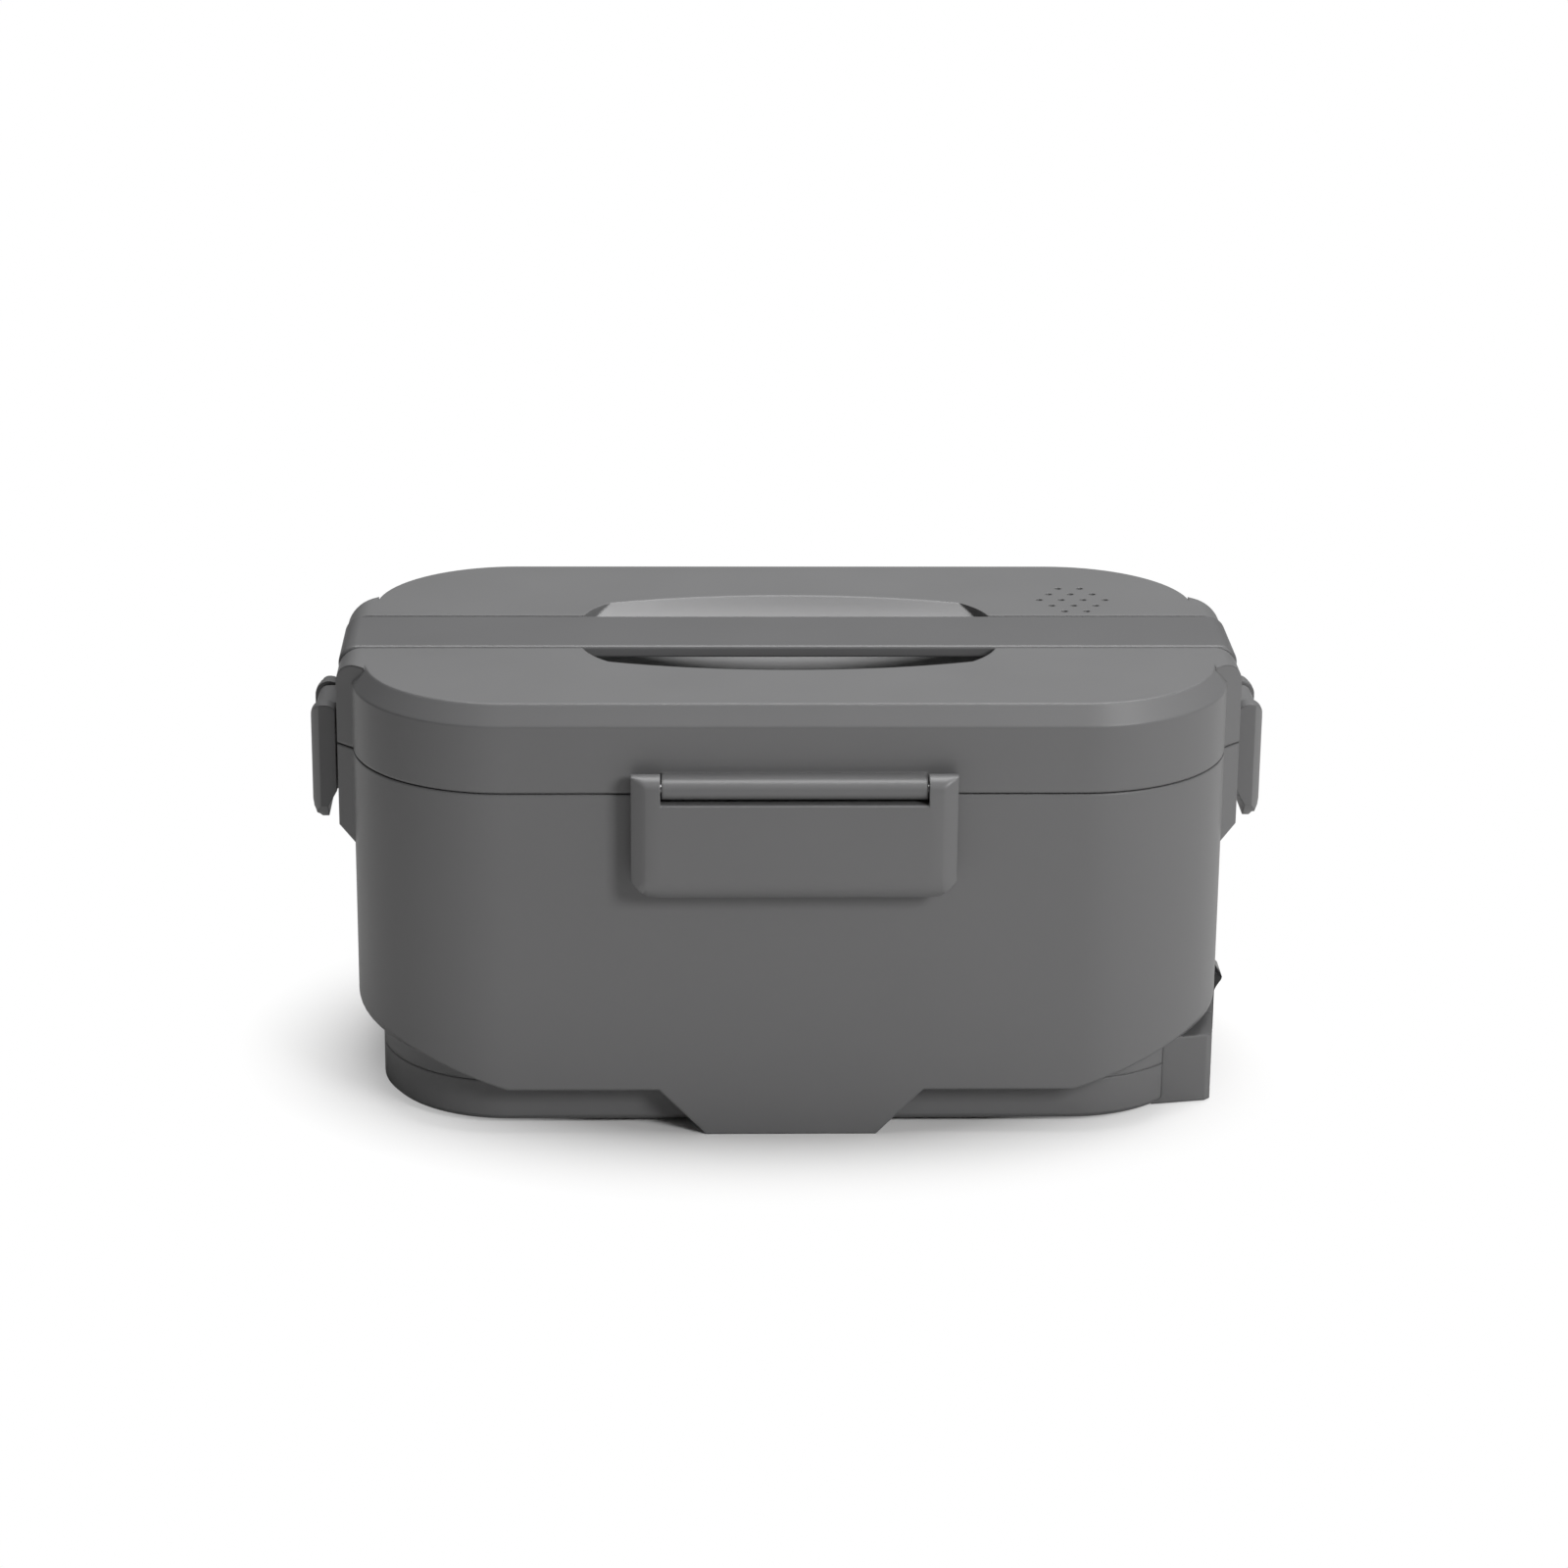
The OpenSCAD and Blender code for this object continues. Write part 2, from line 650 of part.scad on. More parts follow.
module base_cover() color("gray") {
    difference() {
        union() {
            difference() {
                translate([0, 0, base_top + base_lift]) mirror([0, 0, 1])
                    bevelled_block(base_w, base_d, base_r, base_lift, base_top, base_chamfer,
                        base_chamfer);
                round_block(base_w - 2 * base_wall, base_d - 2 * base_wall, base_r - base_wall,
                    base_floor_top, base_top + over);
            }
            // low rims that centre the shell's flange
            for (turn = [0, 180]) rotate([0, 0, turn]) {
                rim_l = base_w - 2 * base_r - lip_end;
                translate([-rim_l / 2, base_d / 2 - base_wall - 0.8 - lip_t, base_floor_top - 0.2])
                    cube([rim_l, lip_t, base_top + lip_h - base_floor_top]);
            }
            for (sx = [-1, 1], sy = [-1, 1]) {
                translate([sx * post_x, sy * post_y, base_lift + 0.2])
                    cylinder(h = base_top - base_lift - 0.2, r = tower_r);
                translate([sx * standoff_x, sy * standoff_y, base_floor_top - 0.2])
                    cylinder(h = standoff_h + 0.2, r = standoff_r);
            }
        }
        for (sx = [-1, 1], sy = [-1, 1]) {
            translate([sx * post_x, sy * post_y, base_lift - over]) {
                cylinder(h = base_top, r = screw_r + 0.3);
                cylinder(h = head_seat_z - base_lift + over, r = screw_head_r + face_gap);
            }
            translate([sx * rubber_x, sy * rubber_y, base_lift - over])
                cylinder(h = base_floor_t + 2 * over, r = rubber_stem_r + 0.1);
        }
        housing_cut();
    }
}

module rubber_feet() color("black") {
    for (sx = [-1, 1], sy = [-1, 1]) translate([sx * rubber_x, sy * rubber_y, 0]) {
        cylinder(h = base_lift, r = rubber_r);
        cylinder(h = base_floor_top + rubber_head_h, r = rubber_stem_r);
        translate([0, 0, base_floor_top]) cylinder(h = rubber_head_h, r = rubber_head_r);
    }
}

// Pan-head screw that points up, with its head's seat at z = 0
module screw(length) {
    cylinder(h = length, r = screw_r);
    translate([0, 0, -screw_head_h]) difference() {
        cylinder(h = screw_head_h, r = screw_head_r);
        for (turn = [0, 90]) rotate([0, 0, turn]) cube([3, 0.7, 2], center = true);
    }
}

module base_screws() color("silver") {
    for (sx = [-1, 1], sy = [-1, 1]) translate([sx * post_x, sy * post_y, head_seat_z])
        screw(flange_z + post_h - head_seat_z - 3);
}

module socket_housing() color("dimgray") {
    difference() {
        union() {
            translate([0, 0, housing_foot_z]) linear_extrude(housing_z - housing_foot_z)
                polygon([[housing_back_x, -housing_half - housing_flare],
                    [shoulder_x - 1.5, -housing_half],
                    [shoulder_x, 1.5 - housing_half], [panel_x, -panel_half], [panel_x, panel_half],
                    [shoulder_x, housing_half - 1.5], [shoulder_x - 1.5, housing_half],
                    [housing_back_x, housing_half + housing_flare]]);
            translate([panel_x - housing_wall, -panel_half, housing_z - 0.2])
                cube([housing_wall, 2 * panel_half, panel_z - housing_z + 0.2]);
        }
        translate([housing_back_x - over, housing_wall - housing_half, housing_foot_z + housing_wall])
            cube([shoulder_x - housing_wall - housing_back_x + over,
                2 * (housing_half - housing_wall), housing_z - housing_foot_z - 2 * housing_wall]);
        translate([housing_back_x - over, -panel_half + housing_wall, housing_foot_z + housing_wall])
            cube([panel_x - housing_wall - housing_back_x + over,
                2 * (panel_half - housing_wall), housing_z]);
        translate([switch_back_x, switch_y - switch_half_w - 0.1, switch_z - switch_half_h - 0.1])
            cube([2 * housing_half, 2 * switch_half_w + 0.2, 2 * switch_half_h + 0.2]);
        translate([inlet_back_x, inlet_y - inlet_half_w - 0.1, inlet_z - inlet_half_h - 0.1])
            cube([2 * housing_half, 2 * inlet_half_w + 0.2, 2 * inlet_half_h + 0.2]);
    }
}

module power_inlet() color("black") {
    flange_half_w = inlet_half_w + 2.5;
    flange_half_h = inlet_half_h + 1.6;
    difference() {
        union() {
            translate([inlet_back_x, inlet_y - inlet_half_w, inlet_z - inlet_half_h])
                cube([panel_x - inlet_back_x, 2 * inlet_half_w, 2 * inlet_half_h]);
            translate([panel_x, inlet_y, inlet_z]) rotate([90, 0, 90]) linear_extrude(bezel_t)
                round_rect(2 * flange_half_w, 2 * flange_half_h, 2);
        }
        translate([panel_x + bezel_t - inlet_depth, inlet_y, inlet_z]) rotate([90, 0, 90])
            linear_extrude(inlet_depth + over) {
                for (s = [-1, 1]) translate([s * inlet_lobe_y, 0]) circle(inlet_lobe_r);
            }
        for (s = [-1, 1]) translate([inlet_back_x - over, inlet_y + s * inlet_pitch / 2, inlet_z])
            rotate([0, 90, 0]) cylinder(h = 2 * inlet_depth, r = inlet_pin_r + pin_gap);
    }
}

module inlet_pins() color("gold") {
    tip_x = panel_x + bezel_t - inlet_depth + inlet_pin_l;
    for (s = [-1, 1]) translate([inlet_tail_x, inlet_y + s * inlet_pitch / 2, inlet_z])
        rotate([0, 90, 0]) {
            cylinder(h = tip_x - inlet_tail_x - 0.6, r = inlet_pin_r);
            translate([0, 0, tip_x - inlet_tail_x - 0.6])
                cylinder(h = 0.6, r1 = inlet_pin_r, r2 = inlet_pin_r - 0.5);
        }
}

module switch_frame() color("black") {
    pocket_half_h = rocker_r + 0.15;
    pocket_half_w = rocker_half_w + 0.2;
    difference() {
        union() {
            translate([switch_back_x, switch_y - switch_half_w, switch_z - switch_half_h])
                cube([panel_x - switch_back_x, 2 * switch_half_w, 2 * switch_half_h]);
            translate([panel_x, switch_y, switch_z]) rotate([90, 0, 90])
                linear_extrude(switch_bezel_t)
                round_rect(2 * bezel_half_w, 2 * bezel_half_h, 1);
        }
        translate([rocker_pivot_x - 6, switch_y - pocket_half_w, switch_z - pocket_half_h])
            cube([20, 2 * pocket_half_w, 2 * pocket_half_h]);
        translate([rocker_pivot_x, switch_y, switch_z]) rotate([90, 0, 0])
            cylinder(h = 2 * switch_half_w + over, r = rocker_pin_r + pin_gap, center = true);
    }
}

module switch_terminals() color("gold") {
    for (z = [terminal_low, terminal_high])
        translate([terminal_x, switch_y - tab_w / 2, switch_z + z - tab_t / 2])
            cube([tab_l, tab_w, tab_t]);
}

module switch_rocker() color("black") {
    slope = tan(rocker_tilt);
    translate([rocker_pivot_x, switch_y, switch_z]) {
        rotate([90, 0, 0]) linear_extrude(2 * rocker_half_w, center = true) intersection() {
            circle(rocker_r);
            polygon([[-rocker_back, -rocker_r], [rocker_face, -rocker_r], [rocker_face, 0],
                [rocker_face + rocker_r * slope, rocker_r], [-rocker_back, rocker_r]]);
        }
        rotate([90, 0, 0]) cylinder(h = 2 * switch_half_w - 0.2, r = rocker_pin_r, center = true);
    }
}

module chamber_liner() color("lightgray") {
    rim_top_z = ledge_top + liner_rim_t;
    difference() {
        union() {
            round_block(liner_w, liner_d, liner_r, liner_z, rim_top_z);
            round_block(inner_w - 2 * face_gap, inner_d - 2 * face_gap, inner_r - face_gap,
                ledge_top, rim_top_z);
        }
        round_block(liner_w - 2 * liner_t, liner_d - 2 * liner_t, liner_r - liner_t,
            liner_floor_top, rim_top_z + over);
        round_block(window_w, window_d, window_r, liner_z - over, liner_floor_top + over);
        for (sx = [-1, 1], sy = [-1, 1])
            translate([sx * plate_screw_x, sy * plate_screw_y, liner_z - over])
                cylinder(h = liner_t + 2 * over, r = screw_r + 0.2);
    }
}

module heating_plate() color("silver") {
    difference() {
        round_block(plate_w, plate_d, plate_r, liner_floor_top, plate_top);
        for (sx = [-1, 1], sy = [-1, 1])
            translate([sx * plate_screw_x, sy * plate_screw_y, liner_floor_top - over])
                cylinder(h = over + plate_t - 0.6, r = screw_r + pin_gap);
        for (s = [-1, 1]) translate([0, s * clamp_screw_y, liner_floor_top - over])
            cylinder(h = over + plate_t - 0.6, r = screw_r + pin_gap);
    }
}

module plate_screws() color("silver") {
    for (sx = [-1, 1], sy = [-1, 1]) translate([sx * plate_screw_x, sy * plate_screw_y, liner_z])
        screw(liner_t + plate_t - 0.8);
}

module heater() color("white") {
    end_cap = 4;
    translate([-heater_l / 2 + end_cap, -heater_w / 2, heater_bottom])
        cube([heater_l - 2 * end_cap, heater_w, heater_t]);
    for (s = [-1, 1]) translate([s * (heater_l - end_cap) / 2, 0, heater_bottom + heater_t / 2])
        cube([end_cap + 0.2, heater_w - 3, heater_t - 1.6], center = true);
}

module heater_clamp() color("silver") {
    length = 2 * clamp_screw_y + 8;
    difference() {
        translate([-clamp_w / 2, -length / 2, heater_bottom - clamp_t]) cube([clamp_w, length, clamp_t]);
        for (s = [-1, 1]) translate([0, s * clamp_screw_y, heater_bottom - clamp_t - over])
            cylinder(h = clamp_t + 2 * over, r = screw_r + 0.2);
    }
}

module clamp_screws() color("silver") {
    for (s = [-1, 1]) translate([0, s * clamp_screw_y, heater_bottom - clamp_t])
        screw(heater_t + clamp_t + plate_t - 0.8);
}

module thermostat() color("tan") {
    cap_h = 3;
    translate([thermostat_x, 0, thermostat_bottom]) {
        cylinder(h = thermostat_h - cap_h, r = thermostat_r - 0.8);
        translate([0, 0, thermostat_h - cap_h]) cylinder(h = cap_h, r = thermostat_r);
        for (s = [-1, 1]) translate([0, s * thermostat_tab_y, -tab_l / 2 + 0.1])
            cube([tab_w, tab_t, tab_l + 0.2], center = true);
    }
}

module thermal_fuse() color("whitesmoke") {
    translate([fuse_x, 0, fuse_z]) rotate([90, 0, 0]) {
        cylinder(h = fuse_l, r = fuse_r - 0.5, center = true);
        cylinder(h = fuse_l - 2, r = fuse_r, center = true);
    }
}

module heat_shield() color("silver") {
    round_block(shield_w, shield_d, 6, shield_z, shield_z + shield_t);
}

// Point at share u between p1 and p2, on a smooth curve through p0 to p3
function curve(p0, p1, p2, p3, u) =
    0.5 * (2 * p1 + (p2 - p0) * u + (2 * p0 - 5 * p1 + 4 * p2 - p3) * u * u
        + (3 * p1 - p0 - 3 * p2 + p3) * u * u * u);

// The route with both ends drawn back by the solder gap
function trimmed(route) = let (last = len(route) - 1) [for (i = [0 : last])
    i == 0 ? route[0] + solder_gap * unit(route[1] - route[0])
        : i == last ? route[last] + solder_gap * unit(route[last - 1] - route[last]) : route[i]];

// All points of a smooth route
function route_points(route) = let (last = len(route) - 1) concat(
    [for (i = [0 : last - 1], k = [0 : wire_steps - 1])
        curve(route[max(i - 1, 0)], route[i], route[i + 1], route[min(i + 2, last)], k / wire_steps)],
    [route[last]]);

function unit(v) = v / norm(v);

// One ring of points round p, square to direction d
function ring(p, d, r) = let (a = unit(cross(d, [0, 0, 1])), b = cross(a, d))
    [for (k = [0 : wire_sides - 1])
        p + r * (cos(360 * k / wire_sides) * a + sin(360 * k / wire_sides) * b)];

// Round wire swept along a route
module wire(route) {
    points = route_points(trimmed(route));
    last = len(points) - 1;
    rings = [for (i = [0 : last])
        ring(points[i], unit(points[min(i + 1, last)] - points[max(i - 1, 0)]), wire_r)];
    polyhedron([for (one = rings) each one], concat(
        [[for (k = [0 : wire_sides - 1]) k]],
        [for (i = [0 : last - 1], k = [0 : wire_sides - 1]) let (n = (k + 1) % wire_sides)
            [i * wire_sides + k, (i + 1) * wire_sides + k, (i + 1) * wire_sides + n,
                i * wire_sides + n]],
        [[for (k = [wire_sides - 1 : -1 : 0]) last * wire_sides + k]]));
}

module wire_live_in() color("brown") wire(route_live_in);
module wire_live_out() color("brown") wire(route_live_out);
module wire_heater_link() color("white") wire(route_heater_link);
module wire_neutral() color("steelblue") wire(route_neutral);
module wire_fuse_link() color("white") wire(route_fuse_link);

module food_container() color("silver") {
    difference() {
        union() {
            round_block(container_w, container_d, container_r, container_z, rim_top);
            round_block(container_w + 2 * rim_w, container_d + 2 * rim_w, container_r + rim_w,
                rim_z, rim_top);
        }
        round_block(container_w - 2 * sheet_t, container_d - 2 * sheet_t, container_r - sheet_t,
            container_z + sheet_t, rim_top + over);
    }
}

// Body that hollows out the finger recess: an arc turned about an axis above the lid, cut off
// bluntly at both ends
module dish_body(skin) {
    intersection() {
        translate([0, 0, lid_top - dish_depth + dish_mid_r]) rotate([0, 90, 0])
            rotate_extrude($fn = 128) intersection() {
                translate([dish_mid_r - dish_arc_r, 0]) circle(dish_arc_r + skin, $fn = 256);
                translate([0, -dish_arc_r]) square([dish_arc_r, 2 * dish_arc_r]);
            }
        round_block(2 * (dish_end + skin), 2 * (dish_half_w + skin), dish_corner_r + skin,
            lid_top - dish_depth - skin - over, lid_top + over);
    }
}

// Room for the strap and its arms
module strap_room() {
    rotate([90, 0, 0]) linear_extrude(2 * channel_half, center = true) difference() {
        translate([-pad_x - over, lid_bottom - over])
            square([2 * (pad_x + over), lid_h + 2 * over]);
        arched_outline(slot_x, channel_floor, strap_bend_r - strap_t - face_gap,
            lid_bottom - 2 * over);
    }
}

// Block of the lid that holds a hinge pin, from its root in the lid's wall
module hinge_block(length, root) {
    along_face(length) union() {
        translate([hinge_out, hinge_z]) circle(barrel_r);
        translate([root, hinge_z - barrel_r]) square([hinge_out - root, 2 * barrel_r]);
    }
}

module lid_shell() color("gray") {
    long_block_l = long_latch_l - 2 * long_ear_w - 2 * ear_gap;
    side_block_l = side_latch_l - 2 * side_ear_w - 2 * ear_gap;
    difference() {
        union() {
            difference() {
                union() {
                    difference() {
                        bevelled_block(body_w, body_d, corner_r, lid_bottom, lid_top, bevel_in,
                            bevel_h);
                        bevelled_block(inner_w, inner_d, inner_r, lid_bottom - over, lid_roof,
                            bevel_in, bevel_h);
                    }
                    lid_pads();
                    // skins under the strap's channel and round the finger recess
                    intersection() {
                        bevelled_block(body_w, body_d, corner_r, lid_bottom, lid_top, bevel_in,
                            bevel_h);
                        union() {
                            translate([-body_w / 2, -channel_half - channel_skin,
                                channel_floor - channel_skin])
                                cube([body_w, 2 * (channel_half + channel_skin), lid_top]);
                            dish_body(channel_skin);
                        }
                    }
                    for (sx = [-1, 1], sy = [-1, 1])
                        translate([sx * lid_screw_x, sy * lid_screw_y, inner_plate_top])
                            cylinder(h = lid_roof + 0.2 - inner_plate_top, r = lid_post_r);
                }
                dish_body(0);
                strap_room();
                for (s = [0, 1]) mirror([s, 0, 0]) translate([slot_x, -pocket_half, lid_bottom - over])
                    cube([stop_t + 2 * face_gap, 2 * pocket_half, pocket_top - lid_bottom + over]);
            }
            at_front() hinge_block(long_block_l, -0.2);
            at_rear() hinge_block(long_block_l, -0.2);
            at_right() hinge_block(side_block_l, slot_x - pad_x - 0.2);
            at_left() hinge_block(side_block_l, slot_x - pad_x - 0.2);
        }
        for (sx = [-1, 1], sy = [-1, 1])
            translate([sx * lid_screw_x, sy * lid_screw_y, inner_plate_top - over])
                cylinder(h = lid_screw_hole + over, r = screw_r + pin_gap);
        translate([vent_x, vent_y, lid_roof - over]) steam_holes(wall + 2 * over);
        at_front() hinge_bore(long_latch_l);
        at_rear() hinge_bore(long_latch_l);
        at_right() hinge_bore(side_latch_l);
        at_left() hinge_bore(side_latch_l);
    }
}

// Five staggered rows of holes
module steam_holes(depth) {
    for (row = [-2 : 2]) let (count = 4 - abs(row)) for (k = [0 : count - 1])
        translate([(k - (count - 1) / 2) * vent_step_x, row * vent_step_y, 0])
            cylinder(h = depth, r = vent_hole_r);
}

// Bore for a hinge pin
module hinge_bore(length) {
    translate([0, -hinge_out, hinge_z]) rotate([0, 90, 0])
        cylinder(h = length, r = hinge_pin_r + pin_gap, center = true);
}

// Hinge pin, a little shorter than its latch
module hinge_pin(length) {
    translate([0, -hinge_out, hinge_z]) rotate([0, 90, 0])
        cylinder(h = length - 2, r = hinge_pin_r, center = true);
}

module long_latch_pins() color("silver") {
    at_front() hinge_pin(long_latch_l);
    at_rear() hinge_pin(long_latch_l);
}

module side_latch_pins() color("silver") {
    at_right() hinge_pin(side_latch_l);
    at_left() hinge_pin(side_latch_l);
}

module lid_inner_plate() color("whitesmoke") {
    difference() {
        round_block(inner_plate_w, inner_plate_d, inner_r - inner_plate_edge, inner_plate_z,
            inner_plate_top);
        for (sx = [-1, 1], sy = [-1, 1])
            translate([sx * lid_screw_x, sy * lid_screw_y, inner_plate_z - over])
                cylinder(h = inner_plate_t + 2 * over, r = screw_r + 0.2);
        translate([vent_x, vent_y, inner_plate_z - over])
            cylinder(h = inner_plate_t + 2 * over, r = valve_stem_r + 0.1);
    }
}

module lid_seal() color("lightgray") {
    difference() {
        round_block(seal_outer_w, seal_outer_d, seal_outer_r, seal_z, inner_plate_z);
        round_block(seal_outer_w - 2 * seal_w, seal_outer_d - 2 * seal_w, seal_outer_r - seal_w,
            seal_z - over, inner_plate_z + over);
    }
}

module steam_valve() color("lightgray") {
    translate([vent_x, vent_y, inner_plate_z]) difference() {
        union() {
            translate([0, 0, -1.4]) cylinder(h = 1.4, r1 = valve_stem_r, r2 = valve_stem_r + 1.2);
            cylinder(h = inner_plate_t, r = valve_stem_r);
            translate([0, 0, inner_plate_t]) cylinder(h = 1.5, r = valve_r);
        }
        translate([0, 0, -over - 1]) cylinder(h = inner_plate_t + 5, r = 0.8);
    }
}

module lid_screws() color("silver") {
    for (sx = [-1, 1], sy = [-1, 1]) translate([sx * lid_screw_x, sy * lid_screw_y, inner_plate_z])
        screw(inner_plate_t + lid_screw_hole - 0.5);
}

// Strap that lies across the lid, with a forked arm down each side and a stop at each arm's foot
module carry_handle() color("dimgray") {
    strap_top = lid_top + strap_proud;
    difference() {
        union() {
            rotate([90, 0, 0]) linear_extrude(handle_w, center = true) difference() {
                arched_outline(pad_x, strap_top, strap_bend_r, arm_foot);
                arched_outline(arm_inner_x, strap_top - strap_t, strap_bend_r - strap_t,
                    arm_foot - over);
            }
            for (s = [0, 1]) mirror([s, 0, 0])
                translate([arm_inner_x, -handle_w / 2 - stop_side, arm_foot])
                    cube([stop_t, handle_w + 2 * stop_side, stop_h]);
        }
        translate([-pad_x - over, -fork_half, arm_foot - over])
            cube([2 * (pad_x + over), 2 * fork_half, fork_top - arm_foot + over]);
    }
}

// Latch that hangs from its pin, with ears beside the hinge barrel and a hook inside
module latch(length, ear_w, end_in) {
    half = length / 2;
    outer = latch_stand + latch_t;
    side = outer - latch_side_out;
    difference() {
        intersection() {
            union() {
                intersection() {
                    rotate([90, 0, 0]) linear_extrude(outer) polygon([[-half, hinge_z],
                        [-half, latch_z + latch_corner], [latch_corner - half, latch_z],
                        [half - latch_corner, latch_z], [half, latch_z + latch_corner],
                        [half, hinge_z]]);
                    along_face(length) polygon([[latch_stand, latch_z],
                        [outer - latch_chamfer_out, latch_z], [outer, latch_z + latch_chamfer_up],
                        [outer, hinge_z], [latch_stand, hinge_z]]);
                }
                along_face(length) intersection() {
                    translate([hinge_out, hinge_z]) circle(ear_r);
                    translate([ear_back, hinge_z - ear_r]) square(2 * ear_r);
                }
                // a rib behind each end
                for (s = [-1, 1]) translate([s * (half - latch_rib_t / 2), 0, 0]) along_face(latch_rib_t)
                    polygon([[ear_back, latch_z + latch_corner + 1.5],
                        [latch_stand + 0.2, latch_z + latch_corner], [latch_stand + 0.2, hinge_z],
                        [ear_back, hinge_z]]);
                translate([0, 0, catch_z - face_gap - hook_h]) along_face(length - 2 * end_in)
                    polygon([[hook_gap, hook_h - 1.2], [hook_gap + 1.2, 0], [latch_stand + 0.2, 0],
                        [latch_stand + 0.2, hook_h], [hook_gap, hook_h]]);
            }
            // both ends are bevelled
            translate([0, 0, latch_z - over]) linear_extrude(hinge_z + 2 * ear_r - latch_z)
                polygon([[-half, 0], [-half, -side], [latch_side_run - half, -outer],
                    [half - latch_side_run, -outer], [half, -side], [half, 0]]);
        }
        translate([ear_w - half, -outer - over, plate_edge_z])
            cube([length - 2 * ear_w, outer + 2 * over, hinge_z + ear_r + over - plate_edge_z]);
        hinge_bore(length - pin_cap);
    }
}

module front_latch() color("dimgray") at_front() latch(long_latch_l, long_ear_w, catch_end);
module rear_latch() color("dimgray") at_rear() latch(long_latch_l, long_ear_w, catch_end);
module left_latch() color("dimgray") at_left() latch(side_latch_l, side_ear_w, side_catch_end);
module right_latch() color("dimgray") at_right() latch(side_latch_l, side_ear_w, side_catch_end);

body_shell();
base_cover();
rubber_feet();
base_screws();
socket_housing();
power_inlet();
inlet_pins();
switch_frame();
switch_terminals();
switch_rocker();
chamber_liner();
heating_plate();
plate_screws();
heater();
heater_clamp();
clamp_screws();
thermostat();
thermal_fuse();
heat_shield();
wire_live_in();
wire_live_out();
wire_heater_link();
wire_neutral();
wire_fuse_link();
food_container();
lid_shell();
lid_inner_plate();
lid_seal();
steam_valve();
lid_screws();
long_latch_pins();
side_latch_pins();
carry_handle();
front_latch();
rear_latch();
left_latch();
right_latch();
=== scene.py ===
"""Dresses the electric lunch box: finishes its moulded shells and strap handle, and models its
latches, food container, seal, feet and rocker as smooth surfaces in the place of plain solids."""

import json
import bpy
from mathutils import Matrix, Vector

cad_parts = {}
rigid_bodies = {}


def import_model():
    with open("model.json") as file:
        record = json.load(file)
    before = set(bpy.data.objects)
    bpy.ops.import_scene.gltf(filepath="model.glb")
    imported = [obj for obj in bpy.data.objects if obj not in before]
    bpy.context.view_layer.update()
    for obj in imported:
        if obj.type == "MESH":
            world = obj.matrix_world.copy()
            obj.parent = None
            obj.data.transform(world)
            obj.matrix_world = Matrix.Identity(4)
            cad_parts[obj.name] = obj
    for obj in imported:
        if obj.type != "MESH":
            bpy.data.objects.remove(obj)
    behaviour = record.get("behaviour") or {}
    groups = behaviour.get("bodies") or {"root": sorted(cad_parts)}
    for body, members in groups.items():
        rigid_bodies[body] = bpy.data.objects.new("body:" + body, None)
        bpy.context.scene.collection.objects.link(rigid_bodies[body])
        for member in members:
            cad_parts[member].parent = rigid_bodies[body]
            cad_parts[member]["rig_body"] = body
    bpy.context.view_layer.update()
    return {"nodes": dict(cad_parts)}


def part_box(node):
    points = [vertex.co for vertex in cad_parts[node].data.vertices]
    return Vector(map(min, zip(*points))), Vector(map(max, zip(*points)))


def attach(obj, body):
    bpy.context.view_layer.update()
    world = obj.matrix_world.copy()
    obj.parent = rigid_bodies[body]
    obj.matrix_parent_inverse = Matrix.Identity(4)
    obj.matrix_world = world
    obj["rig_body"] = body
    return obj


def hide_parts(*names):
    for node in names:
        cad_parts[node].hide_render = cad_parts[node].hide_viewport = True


bl_info = {
    "name": "Electric Lunch Box",
    "version": (1, 0, 0),
    "blender": (4, 5, 0),
    "location": "View3D > Sidebar > Lunch Box",
    "description": "Finishes and smooth pieces of an electric lunch box, with a plain studio",
    "category": "Object",
}

from math import cos, pi, radians, sin

import bmesh
import bpy
import numpy as np
from bpy.props import FloatProperty, FloatVectorProperty, PointerProperty
from mathutils import Matrix, Vector

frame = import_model()
MM = 0.001


def low(node):
    """Lowest corner of a solid, in millimetres."""
    return np.array(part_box(node)[0]) / MM


def high(node):
    """Highest corner of a solid, in millimetres."""
    return np.array(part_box(node)[1]) / MM


# ---------------------------------------------------------------- shader arithmetic


class Value:
    """A socket or number of a node tree, on which the arithmetic signs add Math nodes."""

    def __init__(self, finish, source):
        self.finish = finish
        self.source = source

    def math(self, operation, *others, clamp=False):
        """This value and the others through one Math node."""
        settings = {"operation": operation, "use_clamp": clamp}
        return self.finish.node("ShaderNodeMath", settings, dict(enumerate((self,) + others)))

    def __add__(self, other):
        return self.math("ADD", other)

    def __sub__(self, other):
        return self.math("SUBTRACT", other)

    def __mul__(self, other):
        return self.math("MULTIPLY", other)

    def __truediv__(self, other):
        return self.math("DIVIDE", other)

    __radd__ = __add__

    def clamped(self):
        """The value held between 0 and 1."""
        return self.math("ADD", 0.0, clamp=True)


